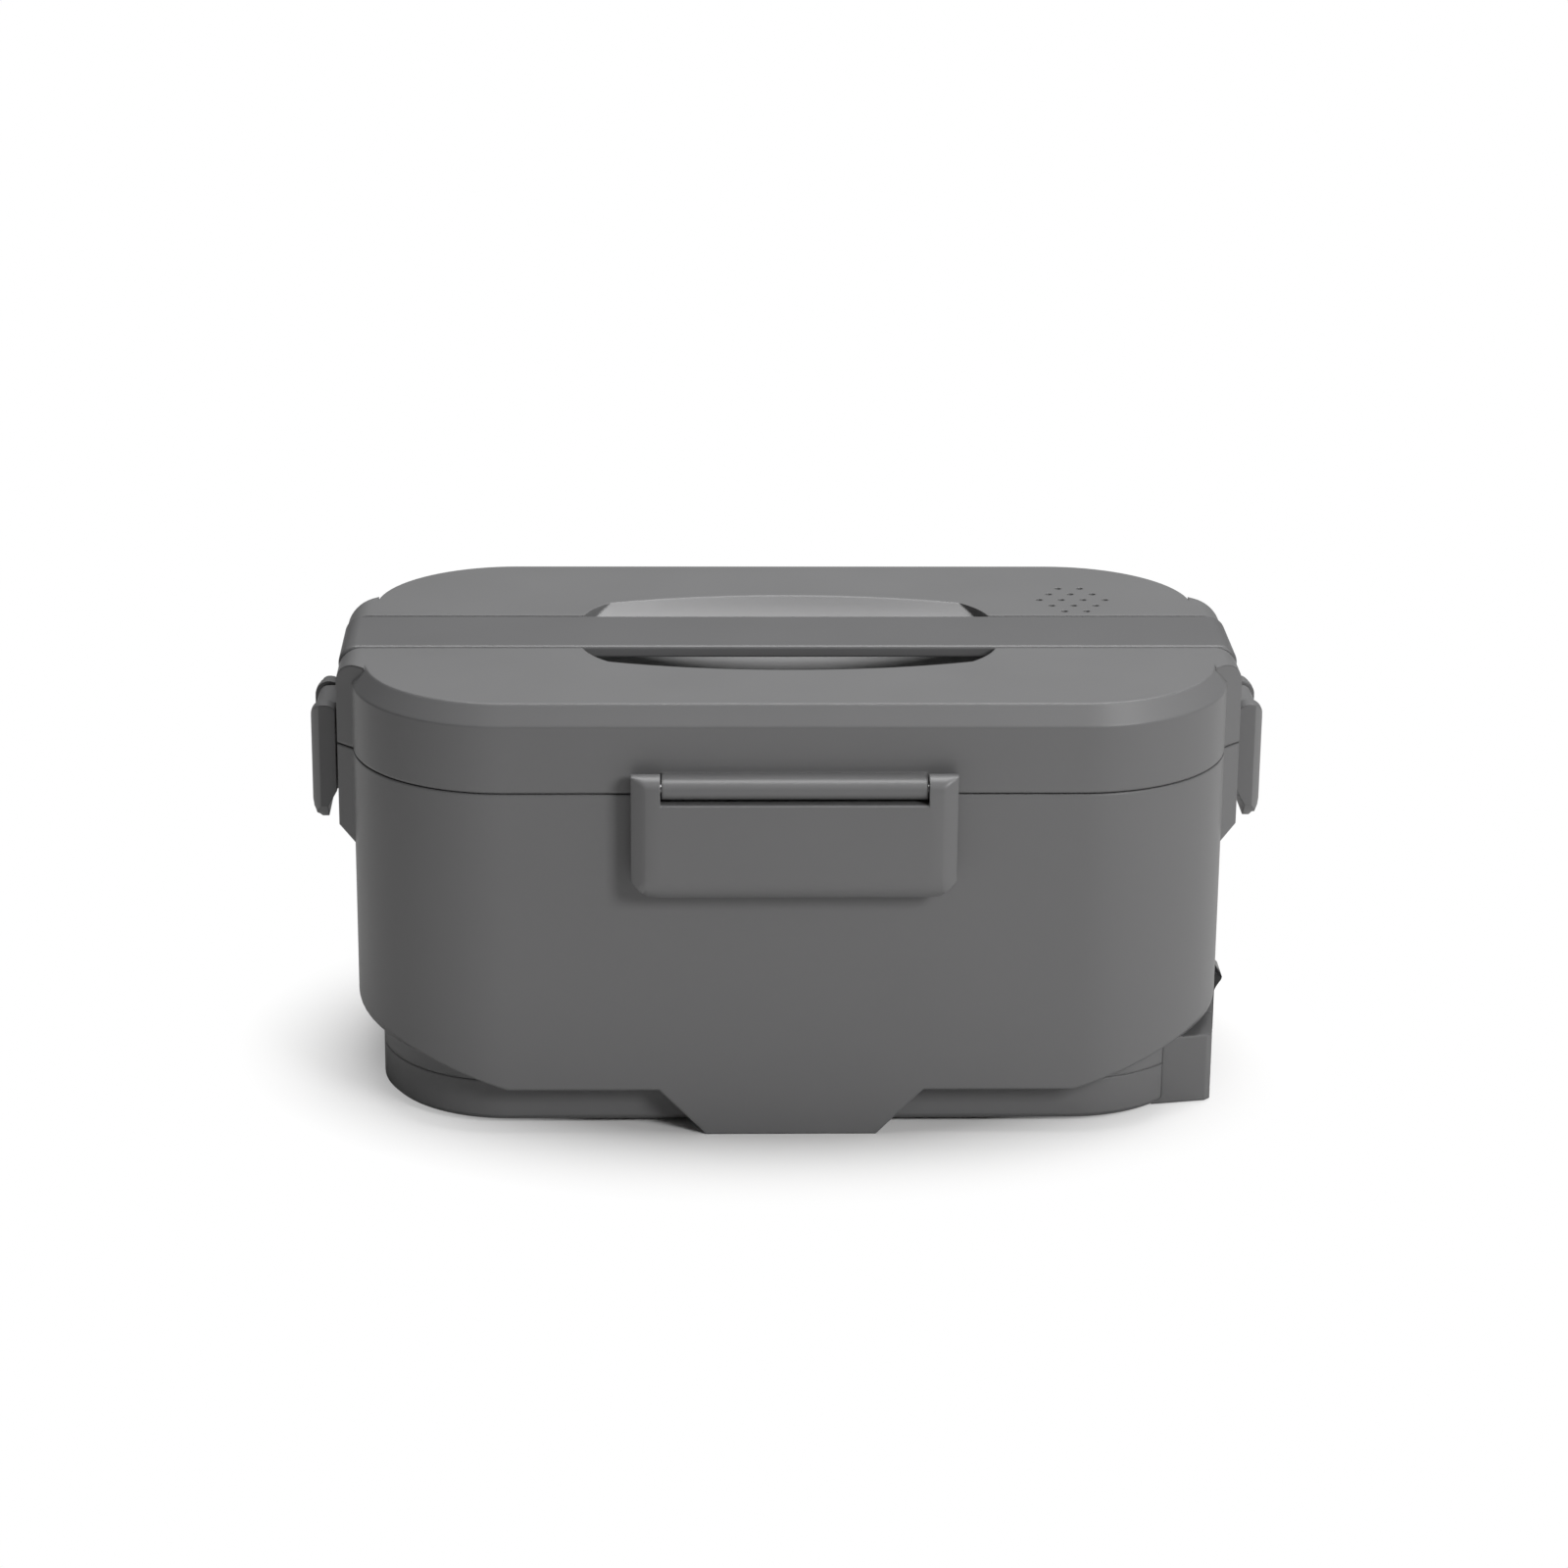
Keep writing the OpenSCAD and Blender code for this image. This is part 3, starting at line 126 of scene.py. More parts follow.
class Finish:
    """One procedural material. Constant values sit on the shader's own sockets."""

    def __init__(self, name, colour, **constants):
        self.material = bpy.data.materials.new(name)
        self.material.use_nodes = True
        self.tree = self.material.node_tree
        self.shader = self.tree.nodes["Principled BSDF"]
        self.colour = tuple(colour)[:3]
        self.shader.inputs["Base Color"].default_value = (*self.colour, 1)
        for socket, value in constants.items():
            self.shader.inputs[socket.replace("_", " ").title()].default_value = value

    def node(self, kind, settings=None, sockets=None, output=0):
        """Adds a node: its settings first, then the values or links of its sockets."""
        node = self.tree.nodes.new(kind)
        for name, value in (settings or {}).items():
            setattr(node, name, value)
        for name, value in (sockets or {}).items():
            self.connect(value, node.inputs[name])
        return Value(self, node.outputs[output])

    def connect(self, value, socket):
        """Links a value to a socket, or writes a plain number or colour on it."""
        source = value.source if isinstance(value, Value) else value
        if isinstance(source, bpy.types.NodeSocket):
            self.tree.links.new(source, socket)
        else:
            socket.default_value = source

    def feed(self, name, value):
        """Sends a value to a socket of the shader."""
        self.connect(value, self.shader.inputs[name])

    def place(self, stretch=(1, 1, 1)):
        """The object's own coordinates in metres, stretched along each axis."""
        spot = self.node("ShaderNodeTexCoord", output=3)
        return self.node("ShaderNodeMapping", None, {"Vector": spot, "Scale": stretch})

    def noise(self, place, size, detail=3.0, roughness=0.5):
        """Noise whose lumps are about size millimetres across."""
        return self.node("ShaderNodeTexNoise", None, {
            "Vector": place, "Scale": 1 / (size * MM), "Detail": detail, "Roughness": roughness})

    def tint(self, amount, darker, lighter):
        """The colour between a darker and a lighter share of itself."""
        low_colour = tuple(c * darker for c in self.colour) + (1,)
        high_colour = tuple(c * lighter for c in self.colour) + (1,)
        return self.node("ShaderNodeMix", {"data_type": "RGBA"},
                         {"Factor": amount, 6: low_colour, 7: high_colour}, output=2)

    def relief(self, height, depth, edge):
        """Bump of a depth in millimetres, on edges rounded over a radius in millimetres."""
        rounded = self.node("ShaderNodeBevel", {"samples": 6}, {"Radius": edge * MM})
        return self.node("ShaderNodeBump", None, {
            "Height": height, "Distance": depth * MM, "Strength": 1.0, "Normal": rounded})


def moulded_plastic(name, colour, roughness, grain=0.35, depth=0.012, edge=0.7, **constants):
    """Moulded plastic: spark-eroded grain, faint clouding and softly rounded edges."""
    finish = Finish(name, colour, roughness=roughness, **constants)
    place = finish.place()
    cloud = finish.noise(place, 28.0, 2.0)
    grain_height = finish.noise(place, grain, 2.0, 0.6)
    finish.feed("Base Color", finish.tint(cloud, 0.97, 1.03))
    finish.feed("Roughness", roughness - 0.03 + cloud * 0.06)
    finish.feed("Normal", finish.relief(grain_height, depth, edge))
    return finish.material


def brushed_metal(name, colour, roughness, stretch=(1, 30, 30), edge=0.3):
    """Drawn or brushed metal: fine lines along one axis change its gloss and its relief."""
    finish = Finish(name, colour, roughness=roughness, metallic=1.0)
    lines = finish.noise(finish.place(stretch), 6.0, 4.0, 0.7)
    smudge = finish.noise(finish.place(), 22.0, 2.0)
    finish.feed("Base Color", finish.tint(lines, 0.92, 1.05))
    finish.feed("Roughness", roughness - 0.08 + lines * 0.12 + smudge * 0.06)
    finish.feed("Normal", finish.relief(lines, 0.008, edge))
    return finish.material


def soft_rubber(name, colour, roughness, edge=0.5):
    """Rubber or silicone: matte, slightly mottled, with a fine skin."""
    finish = Finish(name, colour, roughness=roughness, sheen_weight=0.15)
    place = finish.place()
    mottle = finish.noise(place, 5.0, 3.0)
    skin = finish.noise(place, 0.6, 2.0)
    finish.feed("Base Color", finish.tint(mottle, 0.9, 1.08))
    finish.feed("Roughness", roughness - 0.05 + mottle * 0.1)
    finish.feed("Normal", finish.relief(skin, 0.02, edge))
    return finish.material


def glazed(name, colour, roughness, edge=0.3):
    """Glazed ceramic, phenolic or wire insulation: smooth, with faint waves."""
    finish = Finish(name, colour, roughness=roughness, coat_weight=0.2)
    wave = finish.noise(finish.place(), 3.0, 2.0)
    finish.feed("Base Color", finish.tint(wave, 0.93, 1.06))
    finish.feed("Roughness", roughness + wave * 0.08)
    finish.feed("Normal", finish.relief(wave, 0.01, edge))
    return finish.material


# ---------------------------------------------------------------- surfaces


def surface(name, grid, closed_rings=True, caps=False, sharp=32.0):
    """Mesh of a grid of points in millimetres: each row of the grid is a ring or a line, and
    neighbours in the grid are joined by four-sided faces. Caps close the first and last ring."""
    rows, columns = grid.shape[:2]
    index = np.arange(rows * columns).reshape(rows, columns)
    following = np.roll(index, -1, axis=1)
    last = columns if closed_rings else columns - 1
    quads = np.stack([index[:-1, :last], following[:-1, :last],
                      following[1:, :last], index[1:, :last]], axis=-1).reshape(-1, 4)
    faces = quads.tolist()
    if caps:
        faces += [index[0, ::-1].tolist(), index[-1].tolist()]
    mesh = bpy.data.meshes.new(name)
    mesh.from_pydata((grid.reshape(-1, 3) * MM).tolist(), [], faces)
    return finish_mesh(name, mesh, sharp)


def finish_mesh(name, mesh, sharp=32.0):
    """Object of a mesh, with doubles merged, faces turned outwards and smooth shading."""
    work = bmesh.new()
    work.from_mesh(mesh)
    bmesh.ops.remove_doubles(work, verts=work.verts, dist=1e-6)
    bmesh.ops.dissolve_degenerate(work, edges=work.edges, dist=1e-7)
    bmesh.ops.recalc_face_normals(work, faces=work.faces)
    work.to_mesh(mesh)
    work.free()
    mesh.polygons.foreach_set("use_smooth", np.ones(len(mesh.polygons), bool))
    mesh.set_sharp_from_angle(angle=radians(sharp))
    piece = bpy.data.objects.new(name, mesh)
    bpy.context.scene.collection.objects.link(piece)
    return piece


def rounded_ring(width, depth, radius, corner_steps=16):
    """Points round a rectangle whose corners are quarter circles, as rows of x and y."""
    turn = np.linspace(0, pi / 2, corner_steps)
    rings = []
    for quarter, (sx, sy) in enumerate(((1, 1), (-1, 1), (-1, -1), (1, -1))):
        angle = turn + quarter * pi / 2
        centre = np.array([sx * (width / 2 - radius), sy * (depth / 2 - radius)])
        rings.append(centre + radius * np.stack([np.cos(angle), np.sin(angle)], axis=-1))
    return np.concatenate(rings)


def carried_round(name, width, depth, radius, profile, corner_steps=16):
    """A profile of (inset, height) pairs carried round a rounded rectangle: each pair is one ring,
    drawn in by its inset, at its height."""
    rings = []
    for inset, height in profile:
        plan = rounded_ring(width - 2 * inset, depth - 2 * inset, max(radius - inset, 0.05),
                            corner_steps)
        rings.append(np.column_stack([plan, np.full(len(plan), height)]))
    return surface(name, np.array(rings))


def arc(centre, radius, start, end, steps=7):
    """Points of an arc from a start to an end angle in degrees, as rows of two."""
    angle = np.radians(np.linspace(start, end, steps))
    return np.array(centre) + radius * np.stack([np.cos(angle), np.sin(angle)], axis=-1)


def dress(piece, node, material):
    """Gives a piece its material and body, and lets it stand for a solid."""
    source = frame["nodes"][node]
    piece.data.materials.clear()
    piece.data.materials.append(material)
    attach(piece, source["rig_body"])
    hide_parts(node)


# ---------------------------------------------------------------- settings


def colour(name, description, default):
    """A colour setting."""
    return FloatVectorProperty(name=name, description=description, subtype="COLOR", size=3,
                               min=0, max=1, default=default)


class LunchBoxColours(bpy.types.PropertyGroup):
    """Colours of the lunch box."""

    shell: colour("Shell", "Colour of the moulded shells and latches", (0.150, 0.150, 0.152))
    handle: colour("Handle", "Colour of the strap handle", (0.116, 0.116, 0.118))
    trim: colour("Trim", "Colour of the switch and the inlet", (0.010, 0.010, 0.011))
    liner: colour("Liner", "Colour of the heated chamber's liner", (0.60, 0.60, 0.585))


class LunchBoxSizes(bpy.types.PropertyGroup):
    """Sizes of the soft edges and of the steel sheet, in millimetres."""

    strap_edge: FloatProperty(name="Strap edge", description="Width of the strap's rounding",
                              default=0.9, min=0.2, max=1.4)
    latch_bevel: FloatProperty(name="Latch bevel", default=3.4, min=1.0, max=6.0,
                               description="Width of the bevel at a latch's ends")
    latch_drop: FloatProperty(name="Latch bevel drop", description="How far the bevel falls back",
                              default=2.2, min=0.5, max=3.0)
    sheet: FloatProperty(name="Steel sheet", description="Sheet thickness of the food container",
                         default=0.7, min=0.4, max=0.8)


class LunchBoxStudio(bpy.types.PropertyGroup):
    """Light and floor."""

    overhead: FloatProperty(name="Overhead light", default=16.5, min=0,
                            description="Power of the light above, in watts")
    key: FloatProperty(name="Key light", default=12.0, min=0,
                       description="Power of the light at the front right, in watts")
    side: FloatProperty(name="Side light", default=1.0, min=0,
                        description="Power of the light on the right, in watts")
    surround: FloatProperty(name="Surround", description="Strength of the light from all round",
                            default=0.08, min=0)
    floor: colour("Floor", "Colour of the floor", (0.92, 0.915, 0.91))


def settings():
    """The three groups of settings of the scene."""
    scene = bpy.context.scene
    return scene.lunch_box_colours, scene.lunch_box_sizes, scene.lunch_box_studio


# ---------------------------------------------------------------- materials of the carried solids

TRUE_EDGE = 28.0  # degrees between faces from which an edge stays sharp
WIRE_EDGE = 50.0  # the same on a wire, whose section has few sides


def smooth_solid(node, angle=TRUE_EDGE):
    """Shades a carried solid smoothly: its loose triangles are welded and split at true edges."""
    solid = frame["nodes"][node]
    mesh = solid.data
    if mesh.has_custom_normals:
        mesh.attributes.remove(mesh.attributes["custom_normal"])
    mesh.polygons.foreach_set("use_smooth", np.ones(len(mesh.polygons), bool))
    for name in ("sharp_face", "sharp_edge"):
        mark = mesh.attributes.get(name)
        if mark:
            mesh.attributes.remove(mark)
    weld = solid.modifiers.new("weld", "WELD")
    weld.merge_threshold = 2e-6
    split = solid.modifiers.new("edges", "EDGE_SPLIT")
    split.split_angle = radians(angle)
    return solid


class LUNCHBOX_OT_shells(bpy.types.Operator):
    """Finish the moulded shells, the base and the socket housing"""

    bl_idname = "lunchbox.shells"
    bl_label = "Shells"

    def execute(self, context):
        colours, _, _ = settings()
        shell = moulded_plastic("shell_plastic", colours.shell, 0.42, edge=0.9)
        base = moulded_plastic("base_plastic", [c * 0.97 for c in colours.shell], 0.46, edge=0.9)
        trim = moulded_plastic("trim_plastic", colours.trim, 0.3, grain=0.6, depth=0.006, edge=0.4)
        for node, material in (("body_shell", shell), ("lid_shell", shell), ("base_cover", base),
                               ("socket_housing", base), ("power_inlet", trim),
                               ("switch_frame", trim)):
            smooth_solid(node).data.materials[0] = material
        return {"FINISHED"}


class LUNCHBOX_OT_workings(bpy.types.Operator):
    """Finish the heater, the wiring, the liner, the inner lid and the fasteners"""

    bl_idname = "lunchbox.workings"
    bl_label = "Workings"

    def execute(self, context):
        colours, _, _ = settings()
        liner = moulded_plastic("liner_plastic", colours.liner, 0.35, grain=0.5, edge=0.6)
        inner = moulded_plastic("inner_lid_plastic", (0.68, 0.68, 0.66), 0.25, grain=0.8,
                                depth=0.004, edge=0.5)
        cast = brushed_metal("plate_aluminium", (0.72, 0.72, 0.73), 0.42, (1, 1, 1))
        foil = brushed_metal("shield_aluminium", (0.78, 0.78, 0.79), 0.3)
        zinc = brushed_metal("screw_steel", (0.52, 0.52, 0.53), 0.3, (8, 8, 30), edge=0.15)
        spring = brushed_metal("clamp_steel", (0.48, 0.47, 0.46), 0.38)
        brass = brushed_metal("terminal_brass", (0.75, 0.55, 0.22), 0.28, (30, 8, 8), edge=0.12)
        phenolic = glazed("thermostat_phenolic", (0.36, 0.2, 0.1), 0.35)
        ceramic = glazed("fuse_ceramic", (0.78, 0.74, 0.66), 0.3)
        silicone = soft_rubber("valve_silicone", (0.66, 0.66, 0.64), 0.5, edge=0.3)
        brown = glazed("insulation_brown", (0.16, 0.06, 0.025), 0.4)
        blue = glazed("insulation_blue", (0.03, 0.1, 0.36), 0.4)
        sleeve = glazed("sleeve_white", (0.74, 0.74, 0.7), 0.5)
        finishes = {
            "chamber_liner": liner, "lid_inner_plate": inner, "heating_plate": cast,
            "heater": cast, "heat_shield": foil, "heater_clamp": spring, "base_screws": zinc,
            "plate_screws": zinc, "clamp_screws": zinc, "lid_screws": zinc, "long_latch_pins": zinc,
            "side_latch_pins": zinc, "inlet_pins": brass, "switch_terminals": brass,
            "thermostat": phenolic, "thermal_fuse": ceramic, "steam_valve": silicone,
            "wire_live_in": brown, "wire_live_out": brown, "wire_neutral": blue,
            "wire_heater_link": sleeve, "wire_fuse_link": sleeve}
        for node, material in finishes.items():
            angle = WIRE_EDGE if node.startswith("wire") else TRUE_EDGE
            smooth_solid(node, angle).data.materials[0] = material
        return {"FINISHED"}


# ---------------------------------------------------------------- strap handle


class LUNCHBOX_OT_handle(bpy.types.Operator):
    """Finish the strap handle: its long edges and the fork of each arm are rounded"""

    bl_idname = "lunchbox.handle"
    bl_label = "Handle"

    def execute(self, context):
        colours, sizes, _ = settings()
        plastic = moulded_plastic("handle_plastic", colours.handle, 0.42, edge=0.3)
        strap = smooth_solid("carry_handle")
        strap.data.materials[0] = plastic
        strap.modifiers.remove(strap.modifiers["edges"])
        round_edge = strap.modifiers.new("round_edge", "BEVEL")
        round_edge.width = sizes.strap_edge * MM
        round_edge.segments = 4
        round_edge.limit_method = "ANGLE"
        round_edge.angle_limit = radians(40)
        round_edge.use_clamp_overlap = True
        flat = strap.modifiers.new("flat_faces", "WEIGHTED_NORMAL")
        flat.keep_sharp = False
        return {"FINISHED"}


# ---------------------------------------------------------------- latches

# Millimetres out from the face behind the latch
PLATE_BACK, PLATE_FRONT = 3.5, 7.5
EAR_BACK, HOOK_TIP = 1.2, 0.4
# Millimetres up from the table
PLATE_TOP, HOOK_LOW, HOOK_HIGH = 87.5, 70.2, 72.6
# Hinge pin, as (out, up), and the ear's round about it
PIN, EAR_RADIUS = (4.0, 90.7), 3.5
# Bevel along the lower edge, as (in, up), the cut of the lower corners and the ribs at both ends
LIP_BEVEL, CORNER_CUT, RIB = (2.3, 4.2), 4.0, 1.7
# Distance of the faces behind the latches from the box's middle
BODY_FACE, PAD_FACE = 61.0, 111.0


def latch_sides(foot, kind):
    """Side outline of a latch, as (out, up) rows: from its back lower edge round the bevelled lip,
    up the face, over the top and down the back, where the hook is. The top of an ear is a round
    about the pin with a flat back, that of a plate a small round. A rib's back stands as far in as
    the ear's, down to the cut corner. Every outline has the same number of points."""
    bevel_in, bevel_up = LIP_BEVEL
    lip = arc((PLATE_BACK + 0.5, foot + 0.5), 0.5, 180, 270, 5)
    slope = np.array([[PLATE_FRONT - bevel_in, foot],
                      [PLATE_FRONT - bevel_in * 0.45, foot + bevel_up * 0.35],
                      [PLATE_FRONT - bevel_in * 0.12, foot + bevel_up * 0.75],
                      [PLATE_FRONT, foot + bevel_up * 1.15]])
    if kind in ("ear", "rib"):
        face_top = PIN[1] - 0.6
        crown = arc(PIN, EAR_RADIUS, 8, 262, 24)
        crown[:, 0] = np.maximum(crown[:, 0], EAR_BACK)
        if kind == "rib":
            crown[(crown[:, 0] < PIN[0]) & (crown[:, 1] < PIN[1]), 0] = EAR_BACK
    else:
        face_top = PLATE_TOP - 0.7
        crown = np.concatenate([arc((PLATE_FRONT - 0.6, PLATE_TOP - 0.6), 0.6, 0, 90, 12),
                                arc((PLATE_BACK + 0.4, PLATE_TOP - 0.4), 0.4, 90, 180, 12)])
    face = np.column_stack([np.full(4, PLATE_FRONT), np.linspace(foot + 8, face_top, 4)])
    if kind == "rib":
        catch = np.column_stack([np.full(7, EAR_BACK), np.linspace(PLATE_TOP - 3, foot + 5.5, 7)])
        catch[-1] = PLATE_BACK, foot + 4.0
    else:
        hooked = kind == "hooked"
        reach = HOOK_TIP if hooked else PLATE_BACK
        catch = np.array([[PLATE_BACK, HOOK_HIGH + 0.4], [PLATE_BACK - 0.2 * hooked, HOOK_HIGH],
                          [reach + 0.4 * hooked, HOOK_HIGH], [reach, HOOK_HIGH - 0.4],
                          [reach, HOOK_LOW + 1.2], [reach + 1.2 * hooked, HOOK_LOW],
                          [PLATE_BACK, HOOK_LOW]])
    return np.concatenate([lip, slope, face, crown, catch])


def latch(name, node, length, ear_width, hook_end, face_turn, face_distance, foot, material):
    """Carries the side outline along the latch: outlines with and without ears and hook stand at
    the same place where they begin, and the ends are bevelled by holding the outline back."""
    _, sizes, _ = settings()
    half = length / 2
    bevel = sizes.latch_bevel * 1.1
    ease = np.array([0, 0.12, 0.3, 0.55, 0.8, 0.94, 1.0])
    ends = half - bevel * (1 - ease)
    rib_start = half - RIB
    stations = [(0, "hooked"), (half - hook_end, "hooked"), (half - hook_end, "plate"),
                (half - ear_width, "plate"), (half - ear_width, "ear")]
    stations += [(across, "ear") for across in ends[ends < rib_start - 0.05]]
    stations += [(rib_start, "ear"), (rib_start, "rib")]
    stations += [(across, "rib") for across in ends[ends > rib_start + 0.05]]
    rings = []
    for across, kind in stations:
        side = latch_sides(foot, kind)
        share = max(0.0, (across - (half - bevel)) / bevel)
        lift = max(0.0, CORNER_CUT - (half - across))
        side[:, 0] = np.minimum(side[:, 0], PLATE_FRONT - sizes.latch_drop * share ** 1.25)
        side[:, 1] = np.maximum(side[:, 1], foot + lift)
        rings.append(np.column_stack([np.full(len(side), across), side]))
    right = np.array(rings)
    left = right[:0:-1].copy()
    left[..., 0] *= -1
    grid = np.concatenate([left, right])
    local = np.stack([grid[..., 0], -face_distance - grid[..., 1], grid[..., 2]], axis=-1)
    turn = np.array([[cos(face_turn), -sin(face_turn), 0], [sin(face_turn), cos(face_turn), 0],
                     [0, 0, 1]])
    piece = surface(name, local @ turn.T, caps=True, sharp=38.0)
    dress(piece, node, material)


class LUNCHBOX_OT_latches(bpy.types.Operator):
    """Model the four clip latches with bevelled faces, barrels and hooks"""

    bl_idname = "lunchbox.latches"
    bl_label = "Latches"

    def execute(self, context):
        colours, _, _ = settings()
        plastic = moulded_plastic("latch_plastic", colours.shell, 0.4, edge=0.5)
        long_kind = {"length": high("front_latch")[0] * 2, "ear_width": 7.0, "hook_end": 10.0,
                     "face_distance": BODY_FACE, "foot": low("front_latch")[2]}
        side_kind = {"length": high("right_latch")[1] * 2, "ear_width": 4.7, "hook_end": 6.0,
                     "face_distance": PAD_FACE, "foot": low("right_latch")[2]}
        for side, turn, kind in (("front", 0, long_kind), ("rear", pi, long_kind),
                                 ("right", pi / 2, side_kind), ("left", -pi / 2, side_kind)):
            latch(f"{side}_clip", f"{side}_latch", face_turn=turn, material=plastic, **kind)
        return {"FINISHED"}


# ---------------------------------------------------------------- container, seal and feet


class LUNCHBOX_OT_container(bpy.types.Operator):
    """Model the pressed steel food container with its rolled rim and rounded bottom"""

    bl_idname = "lunchbox.container"
    bl_label = "Food container"

    def execute(self, context):
        _, sizes, _ = settings()
        half_width, half_depth, rim_height = high("food_container")
        floor_height = low("food_container")[2]
        rim_width, rim_radius, fold, heel = 7.5, 28.5, 1.6, 9.0
        wall = rim_width + 0.1
        curl = [(0.9, rim_height - 0.75), (0.35, rim_height - 0.6), (0.1, rim_height - 0.3),
                (0.35, rim_height - 0.08), (0.9, rim_height)]
        neck = arc((wall - fold, rim_height - fold), fold, 90, 0, 6)
        side = np.column_stack([np.full(5, wall),
                                np.linspace(rim_height - 6, floor_height + heel, 5)])
        foot = arc((wall + heel, floor_height + heel), heel, 180, 270, 12)[1:]
        bead = [(wall + heel + 8, floor_height), (wall + heel + 9.5, floor_height + 0.5),
                (wall + heel + 11, floor_height + 0.6), (wall + heel + 12.5, floor_height + 0.6)]
        profile = curl + neck.tolist() + side.tolist() + foot.tolist() + bead
        pot = carried_round("steel_container", 2 * half_width, 2 * half_depth, rim_radius, profile,
                            corner_steps=20)
        close_floor(pot)
        sheet = pot.modifiers.new("sheet", "SOLIDIFY")
        sheet.thickness = sizes.sheet * MM
        sheet.offset = 1.0
        steel = brushed_metal("container_steel", (0.62, 0.62, 0.61), 0.27, (1, 24, 24), edge=0.2)
        dress(pot, "food_container", steel)
        return {"FINISHED"}


def close_floor(pot):
    """Closes the pot with a flat face across its innermost ring."""
    work = bmesh.new()
    work.from_mesh(pot.data)
    lowest = [e for e in work.edges if e.is_boundary and e.verts[0].co.z < 0.05]
    bmesh.ops.contextual_create(work, geom=lowest)
    bmesh.ops.recalc_face_normals(work, faces=work.faces)
    work.to_mesh(pot.data)
    work.free()


class LUNCHBOX_OT_seal(bpy.types.Operator):
    """Model the lid's sealing ring with its lips, and the rubber feet"""

    bl_idname = "lunchbox.seal"
    bl_label = "Seal and feet"

    def execute(self, context):
        half_width, half_depth, head = high("lid_seal")
        base = low("lid_seal")[2]
        profile = [(0.3, head), (0.0, head - 0.3), (0.0, head - 1.0), (0.5, head - 1.3),
                   (0.2, head - 1.6), (0.6, base + 0.05), (1.4, base), (2.2, base + 0.5),
                   (3.0, base + 0.9), (4.6, base + 0.9), (5.6, base + 0.4), (6.6, base),
                   (7.4, base + 0.1), (7.8, base + 0.5), (7.4, base + 0.9), (8.0, base + 1.2),
                   (8.0, head - 0.3), (7.7, head), (0.3, head)]
        ring = carried_round("sealing_ring", 2 * half_width, 2 * half_depth, 29.5, profile)
        dress(ring, "lid_seal", soft_rubber("seal_silicone", (0.66, 0.66, 0.64), 0.5, edge=0.2))
        self.feet()
        return {"FINISHED"}

    def feet(self):
        """Four turned feet, each with the stem and the barb that hold it in the base."""
        reach = high("rubber_feet")
        radius = 6.0
        outline = [(radius - 1.2, 0.0), (radius - 0.4, 0.12), (radius - 0.05, 0.5), (radius, 1.15),
                   (2.0, 1.2), (2.0, 3.4), (2.8, 3.45), (2.6, 4.2), (2.0, 4.55), (0.4, 4.6)]
        turn = np.linspace(0, 2 * pi, 40, endpoint=False)
        circle = np.stack([np.cos(turn), np.sin(turn)], axis=-1)
        feet = []
        for sign in ((-1, -1), (-1, 1), (1, -1), (1, 1)):
            centre = np.array(sign) * (reach[:2] - radius)
            grid = np.array([np.column_stack([centre + r * circle, np.full(len(turn), z)])
                             for r, z in outline])
            feet.append(surface(f"foot_{len(feet)}", grid, caps=True))
        whole = feet[0]
        whole.name = "rubber_foot_set"
        with bpy.context.temp_override(active_object=whole, selected_editable_objects=feet):
            bpy.ops.object.join()
        dress(whole, "rubber_feet", soft_rubber("foot_rubber", (0.02, 0.02, 0.02), 0.6))


